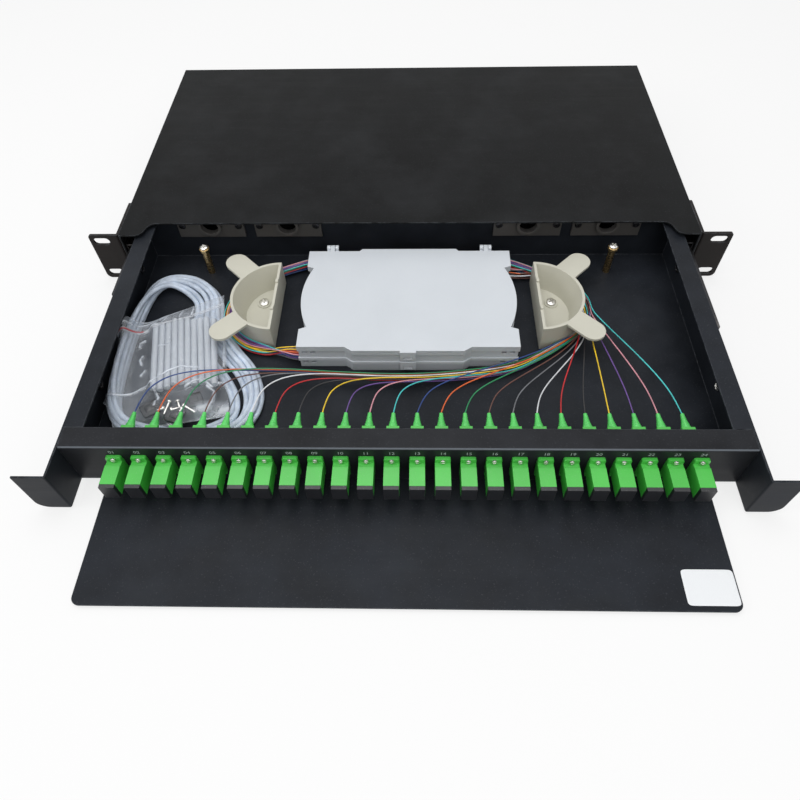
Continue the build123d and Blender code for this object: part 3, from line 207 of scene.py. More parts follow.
class SurfaceGroups:
    """The shader node groups that several finishes share, each built once."""

    MOTTLE_SCALE = 0.011
    BEVEL_SAMPLES = 6
    ALONG_RUBS = (0.06, 1.0, 1.0)

    def __init__(self) -> None:
        """Builds every group."""
        self.grain = self._grain()
        self.edges = self._edges()
        self.dust = self._dust()
        self.rubs = self._rubs()

    @staticmethod
    def _start(
        name: str, inputs: dict[str, float], outputs: dict[str, str]
    ) -> tuple[Graph, bpy.types.NodeOutputs]:
        """Starts a group.

        Args:
            name: the group's name.
            inputs: input name to default value.
            outputs: output name to socket type.

        Returns:
            The group's graph, and what the group is given: the sockets of its input node.
        """
        tree = bpy.data.node_groups.new(name, "ShaderNodeTree")
        for label, value in inputs.items():
            socket = tree.interface.new_socket(label, in_out="INPUT", socket_type=FLOAT)
            socket.default_value = value
        for label, kind in outputs.items():
            tree.interface.new_socket(label, in_out="OUTPUT", socket_type=kind)
        graph = Graph(tree)
        return graph, graph.add("NodeGroupInput").outputs

    def _grain(self) -> Tree:
        """Fine texture of a coat or a mould: a height, and a mottle of a far coarser scale."""
        graph, given = self._start(
            "coat_grain", {"Scale": 2500.0}, {"Height": FLOAT, "Mottle": FLOAT}
        )
        fine = graph.noise(given["Scale"], detail=2.0, roughness=0.6)
        coarse = graph.calc("MULTIPLY", given["Scale"], self.MOTTLE_SCALE)
        slow = graph.noise(coarse, detail=4.0, roughness=0.55)
        mottle = graph.remap(slow, low=0.32, high=0.68)
        graph.add("NodeGroupOutput", {"Height": fine, "Mottle": mottle})
        return graph.tree

    def _edges(self) -> Tree:
        """Rounded edges: the softened normal, and a mask of the edges broken up by noise."""
        graph, given = self._start(
            "edge_wear", {"Width": 0.0005, "Amount": 0.5}, {"Wear": FLOAT, "Normal": VECTOR}
        )
        bevel = graph.add("ShaderNodeBevel", {"Radius": given["Width"]}, samples=self.BEVEL_SAMPLES)
        soft = bevel.outputs[0]
        edge = graph.remap(graph.dot(soft, graph.normal()), low=0.985, high=0.88)
        patches = graph.remap(graph.noise(160.0, detail=4.0, roughness=0.65), low=0.36, high=0.6)
        wear = graph.calc("MULTIPLY", graph.calc("MULTIPLY", edge, patches), given["Amount"])
        graph.add("NodeGroupOutput", {"Wear": wear, "Normal": soft})
        return graph.tree

    def _dust(self) -> Tree:
        """Dust on faces that look up: specks of a fine noise, over a film of a coarse one."""
        graph, given = self._start("settled_dust", {"Amount": 0.3, "Scale": 900.0}, {"Mask": FLOAT})
        up = graph.add("ShaderNodeSeparateXYZ", {0: graph.normal()}).outputs["Z"]
        fine = graph.noise(given["Scale"], detail=1.0, roughness=0.4)
        specks = graph.remap(fine, low=0.66, high=0.74)
        coarse = graph.noise(22.0, detail=5.0, roughness=0.6)
        film = graph.remap(coarse, low=0.45, high=0.75, to_high=0.35)
        facing = graph.remap(up, low=0.3, high=0.9)
        mask = graph.calc("MULTIPLY", graph.calc("MAXIMUM", specks, film), facing)
        graph.add("NodeGroupOutput", {"Mask": graph.calc("MULTIPLY", mask, given["Amount"])})
        return graph.tree

    def _rubs(self) -> Tree:
        """Rub marks and brushing: long thin streaks of noise, in one direction."""
        graph, given = self._start("rub_marks", {"Scale": 300.0, "Amount": 0.5}, {"Mask": FLOAT})
        streaks = graph.noise(given["Scale"], roughness=0.6, stretch=self.ALONG_RUBS)
        mask = graph.remap(streaks, low=0.5, high=0.72)
        graph.add("NodeGroupOutput", {"Mask": graph.calc("MULTIPLY", mask, given["Amount"])})
        return graph.tree


GROUPS = SurfaceGroups()


@dataclass(frozen=True)
class Finish:
    """A finish of this panel: what every kind of surface on it has in common."""

    name: str
    colour: Colour
    roughness: float = 0.5

    def material(self) -> bpy.types.Material:
        """The finish's material, built when it is first asked for."""
        found = bpy.data.materials.get(self.name)
        if found:
            return found
        made = bpy.data.materials.new(self.name)
        made.use_nodes = True
        graph = Graph(made.node_tree)
        inputs = {"Base Color": (*self.colour, 1.0), "Roughness": self.roughness}
        surface = graph.add("ShaderNodeBsdfPrincipled", inputs)
        graph.add("ShaderNodeOutputMaterial", {"Surface": surface.outputs[0]})
        self.dress(graph, surface)
        return made

    def dress(self, graph: Graph, surface: Node) -> None:
        """Adds the finish's own nodes.

        Args:
            graph: the material's graph.
            surface: its Principled node.
        """

    def shade(self, share: float, lift: float = 0.0) -> Colour:
        """The finish's colour times a share, plus a lift, held at white."""
        return tuple(min(1.0, share * c + lift) for c in self.colour)

    @staticmethod
    def bump(
        graph: Graph, surface: Node, height: object, depth: float, normal: Socket | None = None
    ) -> None:
        """Bends the surface's normal by a height.

        Args:
            graph: the material's graph.
            surface: its Principled node.
            height: the height, from 0 to 1.
            depth: how many metres a height of 1 stands for.
            normal: the softened normal under the bump, or none.
        """
        inputs = {"Height": height, "Strength": 1.0, "Distance": depth}
        if normal is not None:
            inputs["Normal"] = normal
        graph.feed(surface, {"Normal": graph.add("ShaderNodeBump", inputs).outputs[0]})


@dataclass(frozen=True)
class PowderCoat(Finish):
    """Fine textured powder coat on folded steel: edges rubbed a little and paled further as a
    painted highlight, and a painted highlight on bends that face up and forward.
    """

    # Colour of rubbed edges, made pale enough to also serve as a painted highlight on edges and
    # bends.
    wear_and_highlight: Colour = (0.15, 0.165, 0.185)
    dust: float = 0.2
    shine: float = 0.12
    edge: float = 0.0009
    wear: float = 0.5
    # Share of a painted highlight on the bends that face up and forward.
    bend_highlight: float = 0.0
    dusty: Colour = (0.10, 0.105, 0.115)
    highlight_facing: Triple = (0.0, -0.707, 0.707)
    depth: float = 0.00003

    def dress(self, graph: Graph, surface: Node) -> None:
        """Mottles the coat, pales the edges as wear and painted highlight, paints a highlight on
        the bends that face up and forward, and adds dust, rubs and the coat's fine texture.
        """
        grain = graph.group(GROUPS.grain, Scale=2600.0)
        edges = graph.group(GROUPS.edges, Width=self.edge, Amount=self.wear)
        dust = graph.group(GROUPS.dust, Amount=self.dust, Scale=1100.0)
        rubs = graph.group(GROUPS.rubs, Scale=210.0, Amount=0.4)
        coat = graph.blend(grain["Mottle"], self.shade(0.72), self.shade(1.3))
        # Edges: rubbed wear, paled further as a painted highlight.
        coat = graph.blend(edges["Wear"], coat, self.wear_and_highlight)
        # Painted highlight on the bends that face up and forward, where a reflection of the
        # surroundings lies.
        if self.bend_highlight:
            toward = graph.dot(graph.normal(), self.highlight_facing)
            painted_bend_highlight = graph.remap(toward, low=0.9, high=0.985, to_high=self.bend_highlight)
            coat = graph.blend(painted_bend_highlight, coat, self.wear_and_highlight)
        coat = graph.blend(dust["Mask"], coat, self.dusty)
        low, high = self.roughness - 0.05, self.roughness + 0.06
        rough = graph.remap(grain["Mottle"], 0.0, 1.0, low, high)
        rough = graph.calc("SUBTRACT", rough, graph.calc("MULTIPLY", rubs["Mask"], 0.14))
        inputs = {"Base Color": coat, "Roughness": rough, "Specular IOR Level": self.shine}
        graph.feed(surface, inputs)
        self.bump(graph, surface, grain["Height"], self.depth, edges["Normal"])


@dataclass(frozen=True)
class Metal(Finish):
    """Bare or plated metal with turning or rolling marks."""

    marks: float = 0.5
    tarnish: Colour = (0.3, 0.28, 0.26)
    edge: float = 0.00015
    depth: float = 0.000008

    def dress(self, graph: Graph, surface: Node) -> None:
        """Adds tarnish, fine marks and softened edges."""
        grain = graph.group(GROUPS.grain, Scale=3200.0)
        edges = graph.group(GROUPS.edges, Width=self.edge, Amount=0.6)
        rubs = graph.group(GROUPS.rubs, Scale=900.0, Amount=self.marks)
        share = graph.remap(grain["Mottle"], low=0.55, high=1.0, to_high=0.5)
        plate = graph.blend(share, self.colour, self.tarnish)
        plate = graph.blend(edges["Wear"], plate, self.shade(1.25))
        rough = graph.calc("ADD", self.roughness, graph.calc("MULTIPLY", rubs["Mask"], 0.25))
        graph.feed(surface, {"Base Color": plate, "Roughness": rough, "Metallic": 1.0})
        self.bump(graph, surface, grain["Height"], self.depth, edges["Normal"])


@dataclass(frozen=True)
class MouldedPlastic(Finish):
    """Injection moulded plastic: a faint grain, a slow change of tone and softened edges."""

    gloss: float = 0.0
    depth: float = 0.000012
    edge: float = 0.0004
    dust: float = 0.15
    glow: float = 0.0
    tone: float = 0.1
    dusty: Colour = (0.42, 0.42, 0.41)
    scatter: float = 0.0015

    def dress(self, graph: Graph, surface: Node) -> None:
        """Adds the tone's change, dust, grain and, in pale plastic, light scattered inside it."""
        grain = graph.group(GROUPS.grain, Scale=1900.0)
        edges = graph.group(GROUPS.edges, Width=self.edge, Amount=0.35)
        dust = graph.group(GROUPS.dust, Amount=self.dust, Scale=1400.0)
        body = graph.blend(grain["Mottle"], self.shade(1 - self.tone), self.shade(1 + self.tone))
        body = graph.blend(edges["Wear"], body, self.shade(1.35, lift=0.02))
        body = graph.blend(dust["Mask"], body, self.dusty)
        low, high = self.roughness - 0.04, self.roughness + 0.05
        rough = graph.remap(grain["Mottle"], 0.0, 1.0, low, high)
        inputs = {"Base Color": body, "Roughness": rough}
        inputs |= {"Coat Weight": self.gloss, "Coat Roughness": 0.18}
        if self.glow:
            inputs |= {"Subsurface Weight": self.glow, "Subsurface Radius": (1.0, 1.0, 1.0)}
            inputs |= {"Subsurface Scale": self.scatter}
        graph.feed(surface, inputs)
        self.bump(graph, surface, grain["Height"], self.depth, edges["Normal"])


@dataclass(frozen=True)
class FibreJacket(Finish):
    """The tight plastic buffer of a fibre: smooth, with a little change of tone along it."""

    depth: float = 0.000006

    def dress(self, graph: Graph, surface: Node) -> None:
        """Adds the change of tone and a thin gloss."""
        slow = graph.remap(graph.noise(70.0, detail=2.0), low=0.35, high=0.65)
        jacket = graph.blend(slow, self.shade(0.82), self.shade(1.12))
        graph.feed(surface, {"Base Color": jacket, "Coat Weight": 0.25, "Coat Roughness": 0.2})
        self.bump(graph, surface, graph.noise(5200.0, detail=1.0), self.depth)


@dataclass(frozen=True)
class MilkyTube(Finish):
    """Soft clear tubing that scatters light, with haze that changes along it."""

    depth: float = 0.00002

    def dress(self, graph: Graph, surface: Node) -> None:
        """Makes the wall let part of the light through and mottles its haze."""
        haze = graph.remap(graph.noise(130.0), low=0.3, high=0.7)
        wall = graph.blend(haze, self.shade(0.88), self.shade(1.08))
        cover = graph.remap(haze, 0.0, 1.0, to_low=0.84, to_high=0.97)
        inputs = {"Base Color": wall, "Alpha": cover, "Transmission Weight": 0.1, "IOR": 1.4}
        graph.feed(surface, inputs | {"Coat Weight": 0.35, "Coat Roughness": 0.12})
        self.bump(graph, surface, graph.noise(900.0, detail=2.0), self.depth)


@dataclass(frozen=True)
class ClearFilm(Finish):
    """Thin bag film: nearly clear, glossy, hazy, and paler where a highlight is painted along its
    folds.
    """

    body: float = 0.16
    crease: float = 0.12
    depth: float = 0.0007
    most: float = 0.94

    def dress(self, graph: Graph, surface: Node) -> None:
        """Feeds the film's share of covered light from its haze and the paleness it carries,
        painted highlights along its folds among it, and ripples the normal.
        """
        slow = graph.noise(38.0, detail=4.0, roughness=0.55, stretch=(1.0, 0.6, 1.0))
        haze = graph.remap(slow, low=0.35, high=0.7, to_high=self.crease)
        # The fold attribute: paleness of seam, zip and contents, and a painted highlight along the
        # folds.
        fold = graph.add("ShaderNodeAttribute", attribute_name="fold").outputs["Fac"]
        facing = graph.add("ShaderNodeLayerWeight", {"Blend": 0.3}).outputs["Facing"]
        rim = graph.calc("MULTIPLY", graph.calc("POWER", facing, 3.0), 0.4)
        cover = graph.calc("ADD", graph.calc("ADD", self.body, haze), rim)
        patches = graph.noise(150.0, roughness=0.6)
        broken = graph.remap(patches, low=0.36, high=0.6, to_low=0.3, to_high=0.85)
        cover = graph.calc("ADD", cover, graph.calc("MULTIPLY", fold, broken))
        inputs = {"Alpha": graph.calc("MINIMUM", cover, self.most), "Specular IOR Level": 1.0}
        graph.feed(surface, inputs | {"Coat Weight": 1.0, "Coat Roughness": 0.05})
        fine = graph.calc("MULTIPLY", graph.noise(240.0), 0.18)
        self.bump(graph, surface, graph.calc("ADD", slow, fine), self.depth)


@dataclass(frozen=True)
class Print(Finish):
    """Ink or paper laid on a part, slightly uneven."""

    uneven: float = 0.12
    depth: float = 0.00001

    def dress(self, graph: Graph, surface: Node) -> None:
        """Varies the tone as screen print and paper do."""
        spots = graph.remap(graph.noise(1500.0), low=0.35, high=0.65)
        tone = graph.blend(spots, self.shade(1 - self.uneven), self.colour)
        graph.feed(surface, {"Base Color": tone})
        self.bump(graph, surface, spots, self.depth)


class Finishes(Enum):
    """Every finish on this panel, one for each kind of surface."""

    COAT = PowderCoat("fine_black_coat", (0.0135, 0.0158, 0.0205), 0.47)
    # Panel coat: a painted highlight along its flange's bend and on its edges.
    PANEL_COAT = PowderCoat(
        "panel_coat", (0.0145, 0.0155, 0.0185), 0.45, (0.16, 0.18, 0.205), wear=0.4, bend_highlight=0.75
    )
    # Housing coat: a darker base colour than the drawer's coat, as painted shade for the housing's
    # darker look.
    SHADED_HOUSE_COAT = PowderCoat("shaded_housing_coat", (0.0085, 0.009, 0.0095), 0.5, dust=0.22, shine=0.07)
    EAR_COAT = PowderCoat("ear_coat", (0.016, 0.0135, 0.0125), 0.5)
    SLIDE_STEEL = Metal("dark_slide_steel", (0.05, 0.05, 0.053), 0.42, marks=0.7)
    BRIGHT_SCREW = Metal("nickel_screw", (0.72, 0.71, 0.68), 0.22, marks=0.3)
    BLACK_SCREW = Metal("black_zinc_screw", (0.045, 0.045, 0.05), 0.36, marks=0.4)
    BRASS = Metal("turned_brass", (0.70, 0.50, 0.24), 0.27, marks=0.6, tarnish=(0.30, 0.19, 0.09))
    GREEN = MouldedPlastic("green_adapter_plastic", (0.062, 0.50, 0.060), 0.36, gloss=0.25)
    GREEN_SOFT = MouldedPlastic("green_boot_plastic", (0.10, 0.62, 0.13), 0.45, 0.1, glow=0.1)
    CAP = MouldedPlastic("dark_cap_plastic", (0.014, 0.015, 0.018), 0.42, gloss=0.1)
    GLAND = MouldedPlastic("dark_gland_plastic", (0.062, 0.058, 0.055), 0.55, depth=0.00003)
    SPOOL = MouldedPlastic(
        "warm_spool_plastic", (0.56, 0.548, 0.465), 0.44, gloss=0.1, glow=0.12, tone=0.04
    )
    TRAY = MouldedPlastic(
        "pale_tray_plastic", (0.60, 0.635, 0.675), 0.36, gloss=0.2, glow=0.15, tone=0.03
    )
    TUBE = MilkyTube("milky_tubing", (0.70, 0.79, 0.92), 0.3)
    FILM = ClearFilm("clear_bag_film", (0.74, 0.80, 0.89), 0.16, body=0.05, crease=0.13)
    ZIP_CLEAR = ClearFilm("clear_zip_film", (0.82, 0.85, 0.90), 0.2, body=0.35, crease=0.1)
    ZIP_RED = ClearFilm("red_zip_film", (0.55, 0.06, 0.08), 0.25, body=0.6, crease=0.2)
    SLEEVE = ClearFilm(
        "sleeve_film", (0.60, 0.645, 0.71), 0.24, body=0.72, crease=0.15, depth=0.0002
    )
    INK = Print("pale_ink", (0.36, 0.38, 0.40), 0.6, uneven=0.3)
    PAPER = Print("white_paper", (0.84, 0.86, 0.88), 0.7, uneven=0.02)
    NYLON = MouldedPlastic("black_nylon", (0.02, 0.02, 0.022), 0.4, gloss=0.1)

    def put_on(self, piece: Piece) -> None:
        """Puts the finish on every slot of a piece."""
        material = self.value.material()
        if not piece.data.materials:
            piece.data.materials.append(material)
        for slot in piece.material_slots:
            slot.material = material


def in_scene(name: str, data: bpy.types.ID) -> Piece:
    """A new object of some data, linked to the scene."""
    made = bpy.data.objects.new(name, data)
    bpy.context.scene.collection.objects.link(made)
    return made


@dataclass
class MadeShape:
    """Vertices and faces worked out as whole arrays, ready to become a piece."""

    points: Points
    faces: Points

    @classmethod
    def grid(cls, points: Points, close_across: bool = False) -> "MadeShape":
        """A surface on a grid of points.

        Args:
            points: array of rows by columns by 3; a face joins each four neighbours.
            close_across: whether the last column joins the first.

        Returns:
            The shape, its faces wound so that rows x columns point outwards.
        """
        rows, columns = points.shape[:2]
        index = np.arange(rows * columns).reshape(rows, columns)
        right = np.roll(index, -1, axis=1) if close_across else index[:, 1:]
        left = index if close_across else index[:, :-1]
        faces = np.stack([left[:-1], right[:-1], right[1:], left[1:]], -1).reshape(-1, 4)
        return cls(points.reshape(-1, 3), faces)

    def moved(self, frames: Points) -> "MadeShape":
        """Copies of the shape, one for each 4 x 4 frame in an array, as one shape."""
        turned = np.einsum("kij,nj->kni", frames[:, :3, :3], self.points)
        placed = turned + frames[:, None, :3, 3]
        faces = self.faces[None] + np.arange(len(frames))[:, None, None] * len(self.points)
        return MadeShape(placed.reshape(-1, 3), faces.reshape(-1, self.faces.shape[1]))

    def joined(self, other: "MadeShape") -> "MadeShape":
        """This shape and another of the same kind of faces, as one shape."""
        faces = np.concatenate([self.faces, other.faces + len(self.points)])
        return MadeShape(np.concatenate([self.points, other.points]), faces)

    def mesh(self, name: str) -> bpy.types.Mesh:
        """The shape as a mesh."""
        made = bpy.data.meshes.new(name)
        made.from_pydata(self.points.tolist(), [], self.faces.tolist())
        return made

    def piece(self, name: str, body: Body, finish: Finishes) -> Piece:
        """Makes the shape a piece, shaded smooth except over sharp edges.

        Args:
            name: the piece's name.
            body: the body that it rides on.
            finish: its finish.

        Returns:
            The new object, riding on its body.
        """
        mesh = self.mesh(name)
        mesh.update()
        mesh.shade_smooth()
        mesh.set_sharp_from_angle(angle=math.radians(SHARP_ANGLE))
        made = in_scene(name, mesh)
        finish.put_on(made)
        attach(made, body.value)
        log.info("%s: %d points, %d faces", name, len(self.points), len(self.faces))
        return made


def ring(count: int, power: float = 1.0) -> Points:
    """Points round the axis, n by 2: the cosine and sine of even angles.

    Args:
        count: how many points.
        power: 1 for a circle; the nearer to 0, the squarer: the sign times the size to the power.

    Returns:
        Array of count by 2.
    """
    turn = np.linspace(0, 2 * np.pi, count, endpoint=False)
    made = np.stack([np.cos(turn), np.sin(turn)], -1)
    return made if power == 1.0 else np.sign(made) * np.abs(made) ** power


def stack(outline: Points, scales: Points, heights: Points) -> MadeShape:
    """A shape of one outline, drawn once at each scale and height: x = s u, y = s v, z = h."""
    flat = np.asarray(scales, float)[:, None, None] * outline[None]
    high = np.broadcast_to(np.asarray(heights, float)[:, None, None], (*flat.shape[:2], 1))
    return MadeShape.grid(np.concatenate([flat, high], -1), close_across=True)


def frames_at(places: Points, axes: Points, turns: Points | float = 0.0) -> Points:
    """Frames whose Z is an axis, at places, each turned about it by an angle.

    Args:
        places: array of n by 3.
        axes: the direction of the frames' Z, one for all or one for each.
        turns: angle about the axis, in radians, one for all or one for each.

    Returns:
        Array of n by 4 by 4.
    """
    z = np.broadcast_to(np.array(axes, float), (len(places), 3))
    z = z / np.linalg.norm(z, axis=1)[:, None]
    aside = np.where(np.abs(z[:, 1:2]) < 0.9, [[0.0, 1.0, 0.0]], [[0.0, 0.0, 1.0]])
    x = np.cross(aside, z)
    x /= np.linalg.norm(x, axis=1)[:, None]
    y = np.cross(z, x)
    angle = np.broadcast_to(np.asarray(turns, float), len(places))[:, None]
    made = np.zeros((len(places), 4, 4))
    made[:, :3, 0] = np.cos(angle) * x + np.sin(angle) * y
    made[:, :3, 1] = np.cos(angle) * y - np.sin(angle) * x
    made[:, :3, 2] = z
    made[:, :3, 3] = places
    made[:, 3, 3] = 1.0
    return made


@dataclass
class Camera:
    """The camera, where the photograph was taken from.

    Degrees and millimetres; the rise is a share of the picture's width.
    """

    place: Triple = (7.67, -377.2, 350.8)
    pan: float = -2.433
    tilt: float = 52.81
    roll: float = -1.853
    focal: float = 29.57
    sensor: float = 36.0
    rise: float = -29.0 / 800.0
    clip: Pair = (10.0, 20000.0)

    def build(self) -> None:
        """Makes the camera and sets it."""
        pan, tilt, roll = (math.radians(a) for a in (self.pan, self.tilt, self.roll))
        ahead = Vector(
            (math.sin(pan) * math.cos(tilt), math.cos(pan) * math.cos(tilt), -math.sin(tilt))
        )
        level = Vector((math.cos(pan), -math.sin(pan), 0.0))
        above = level.cross(ahead)
        right = math.cos(roll) * level + math.sin(roll) * above
        up = math.cos(roll) * above - math.sin(roll) * level
        data = bpy.data.cameras.new("photo_camera")
        data.lens, data.sensor_width, data.shift_y = self.focal, self.sensor, self.rise
        data.clip_start, data.clip_end = (distance * MM for distance in self.clip)
        camera = in_scene("photo_camera", data)
        turn = Matrix((right, up, -ahead)).transposed().to_4x4()
        camera.matrix_world = Matrix.Translation(Vector(self.place) * MM) @ turn
        bpy.context.scene.camera = camera


@dataclass(frozen=True)
class Lamp:
    """A soft round lamp. Metres and watts."""

    name: str
    place: Triple
    aim: Triple
    size: float
    power: float

    def build(self) -> None:
        """Makes the lamp, turned to what it lights."""
        light = bpy.data.lights.new(self.name, "AREA")
        light.shape, light.size, light.energy = "DISK", self.size, self.power
        lamp = in_scene(self.name, light)
        lamp.location = self.place
        aim = Vector(self.aim) - Vector(self.place)
        lamp.rotation_euler = aim.to_track_quat("-Z", "Y").to_euler()


@dataclass
class Studio:
    """A pale floor, a white surround for the camera and three soft lamps. Metres."""

    floor_drop: float = 0.0003
    floor_half: float = 3.0
    floor_rows: int = 9
    floor_tone: float = 0.86
    floor_seen: float = 0.72
    fill: float = 0.5
    lamps: tuple[Lamp, ...] = (
        Lamp("ceiling_lamp", (-0.12, -0.05, 1.25), (0.0, -0.06, 0.0), 1.3, 9.0),
        Lamp("front_lamp", (0.35, -1.15, 0.95), (0.0, -0.1, 0.0), 0.9, 3.2),
        Lamp("left_lamp", (-1.2, -0.35, 0.7), (0.0, -0.1, 0.0), 0.6, 2.4),
    )

    def build(self) -> None:
        """Makes the floor, the lamps and the world."""
        self.build_floor()
        for lamp in self.lamps:
            lamp.build()
        self.build_world()
        bpy.context.scene.view_settings.view_transform = "Standard"

    def build_floor(self) -> None:
        """Makes the floor under the housing: a flat grid, pale, and nearly white to the camera."""
        axis = np.linspace(-self.floor_half, self.floor_half, self.floor_rows)
        x, y = np.meshgrid(axis, axis, indexing="xy")
        low = np.full_like(x, CAD_BOX[0].z - self.floor_drop)
        mesh = MadeShape.grid(np.stack([x, y, low], -1)).mesh("studio_floor")
        material = bpy.data.materials.new("studio_floor")
        material.use_nodes = True
        graph = Graph(material.node_tree)
        matt = graph.add("ShaderNodeBsdfDiffuse", {"Color": (*[self.floor_tone] * 3, 1.0)})
        plain = graph.add("ShaderNodeEmission", {"Color": WHITE, "Strength": 1.0})
        seen = graph.calc("MULTIPLY", self.seen_ray(graph), self.floor_seen)
        inputs = {0: seen, 1: matt.outputs[0], 2: plain.outputs[0]}
        mixed = graph.add("ShaderNodeMixShader", inputs)
        graph.add("ShaderNodeOutputMaterial", {"Surface": mixed.outputs[0]})
        mesh.materials.append(material)
        floor = in_scene("studio_floor", mesh)

    @staticmethod
    def seen_ray(graph: Graph) -> Socket:
        """1 for the rays that show the surround itself: camera, glossy and transmission rays."""
        path = graph.add("ShaderNodeLightPath").outputs
        seen = graph.calc("MAXIMUM", path["Is Camera Ray"], path["Is Glossy Ray"])
        return graph.calc("MAXIMUM", seen, path["Is Transmission Ray"])

    def build_world(self) -> None:
        """Makes the world: white where it is seen, softer where it lights."""
        world = bpy.data.worlds.new("studio_surround")
        bpy.context.scene.world = world
        world.use_nodes = True
        graph = Graph(world.node_tree)
        strength = graph.remap(self.seen_ray(graph), 0.0, 1.0, self.fill, 1.0)
        light = graph.add("ShaderNodeBackground", {"Color": WHITE, "Strength": strength})
        graph.add("ShaderNodeOutputWorld", {"Surface": light.outputs[0]})


@dataclass
class Pigtails:
    """The 24 pigtails, from their boots round the spools to the splice trays. Millimetres.

    The first twelve run along a trunk in front of the trays, the others cross the floor. Eight end
    in the trays' near ports; the rest go on behind the trays and round the left spool.
    """

    seed: int = 24
    offsets: int = 24
    diameter: float = 0.9
    boot_tip: float = -145.3
    boot_gap: float = 0.1
    port_z: float = -0.1
    early: tuple = (4, 6, 8, 14, 16, 18, 20, 23)
    behind: tuple = (1, 13, 3, 5, 17, 19, 7, 15, 2, 9, 21, 24, 12, 10, 22, 11)
    before: tuple = (5, 17, 3, 15, 22, 10, 12, 24, 13, 19, 7, 1, 11, 2, 21, 9)

    spool: Pair = (95.5, -43.5)
    ring_radius: float = 38.2
    ring_width: float = 8.0
    ring_under: float = -18.5
    ring_top: float = -11.5
    ring_lift: float = 0.3
    ring_step: float = 24.0
    ring_start: float = 22.0
    ring_ends: Pair = (66.0, 96.0)
    ring_sway: float = 0.8
    outer_rows: int = 4
    outer_first: float = 1.2
    outer_pitch: Pair = (1.3, 1.45)

    trunk_count: int = 12
    first_angle: float = -58.0
    lead: float = 30.0
    rows: int = 3
    columns: int = 7
    lane: float = 1.3
    layer: float = 1.4
    join: float = 68.0
    clear: float = 12.0
    climb: float = 0.05
    end_x: float = 75.0
    stations: tuple = (
        (-122.0, -111.5), (-76.0, -111.0), (-39.0, -112.5), (-4.0, -112.5),
        (24.0, -110.0), (52.0, -105.5), (75.0, -100.0),
    )
    spread: float = 1.5
    fan: Triple = (32.0, 46.0, 6.0)
    fan_shares: tuple = (0, 0.16, 0.34, 0.54, 0.77, 1)

    cross_lanes: int = 6
    cross_pitch: float = 1.15
    cross_layer: float = 1.2
    cross_edge: float = 1.1
    cross_angle: float = -52.0
    cross_step: float = 4.2
    cross_handles: Triple = (0.27, 0.5, 0.28)
    cross_turn: float = 25.0
    cross_lift: float = 4.0
    cross_shares: tuple = (0, 0.15, 0.32, 0.52, 0.74, 0.9, 1)

    near_x: Triple = (88.5, 77.5, 69.5)
    near_port: Pair = (-8.8, -14.6)
    near_pitch: Pair = (1.0, 1.15)
    near_rows: int = 4
    near_half: float = 1.5

    rear_columns: int = 6
    rear_lane: Pair = (34.6, -16.8)
    rear_pitch: Pair = (1.35, 2.3)
    rear: tuple = (
        (100.0, -2.4, 0.0, 0.4, 0.9, 0.0, 1.0),
        (84.0, 6.2, 0.0, 0.3, 1.0, 0.0, 1.0),
        (66.0, 14.2, 0.0, 0.0, 1.2, 0.0, 0.0),
        (22.0, 14.6, 0.0, 0.0, 1.2, 1.0, 0.5),
        (-22.0, 14.6, 0.0, 0.0, 1.2, 1.0, 0.5),
        (-66.0, 12.4, 0.6, 0.0, 1.2, 0.0, 0.0),
        (-84.0, 5.0, 1.6, -0.3, 1.0, 0.0, 1.0),
        (-100.0, -2.4, 1.0, -0.4, 0.9, 0.0, 1.0),
    )
    left_angles: Pair = (120.0, 250.0)
    left_sway: Pair = (1.2, 0.8)
    far_x: tuple = (-100.5, -91.0, -83.5, -77.5, -69.5)
    far_port: Pair = (-90.0, -15.2)
    far_pitch: Pair = (2.6, 1.7)
    far_rows: int = 4
    far_middle: float = -86.6
    far_y: tuple = (
        (-82.4, -0.9, 0.0, 0.8, 15), (-84.6, 0.0, 0.3, 2.0, 9), (-86.0, 0.0, 0.7, 1.6, 13),
    )
    far_z: tuple = ((0.6, 0.0, 0), (1.4, 2.0, 14), (1.0, 1.2, 12), (0.3, 0.0, 0), (0.0, 0.0, 0))
    far_end: float = 0.3

    @staticmethod
    def bezier(ends: Points, shares: tuple) -> Points:
        """Points of a cubic, at shares: sum of the Bernstein weights times its control points."""
        t = np.array(shares, float)[:, None]
        weights = [(1 - t) ** 3, 3 * t * (1 - t) ** 2, 3 * t**2 * (1 - t), t**3]
        return np.concatenate(weights, 1) @ np.asarray(ends, float)

    def start(self, number: int) -> Points:
        """Where a pigtail comes out of its boot."""
        return np.array([PORTS.x(number - 1), self.boot_tip + self.boot_gap, self.port_z])

    def on_ring(self, angle: Points, radius: Points, height: Points) -> Points:
        """Points at angles and radii about the right spool, at heights."""
        turn = np.radians(angle)
        x = self.spool[0] + radius * np.cos(turn)
        y = self.spool[1] + radius * np.sin(turn)
        return np.stack(np.broadcast_arrays(x, y, height), -1)

    @staticmethod
    def along(angle: float) -> Points:
        """The winding's direction at an angle about the right spool."""
        turn = math.radians(angle)
        return np.array([-math.sin(turn), math.cos(turn), 0.0])

    def lane_of(self, number: int) -> Pair:
        """Radius and height of a pigtail inside the winding."""
        if number <= self.trunk_count:
            column, row = divmod(number - 1, self.rows)
            middle = (self.ring_under + self.ring_top) / 2
            across = (self.columns - 1) / 2 * self.lane - column * self.lane
            return self.ring_radius - across, middle + (row - (self.rows - 1) / 2) * self.layer
        column, row = divmod(number - self.trunk_count - 1, self.outer_rows)
        out, up = self.outer_pitch
        first = self.outer_first
        return self.ring_radius + first + column * out, self.ring_under + first + row * up

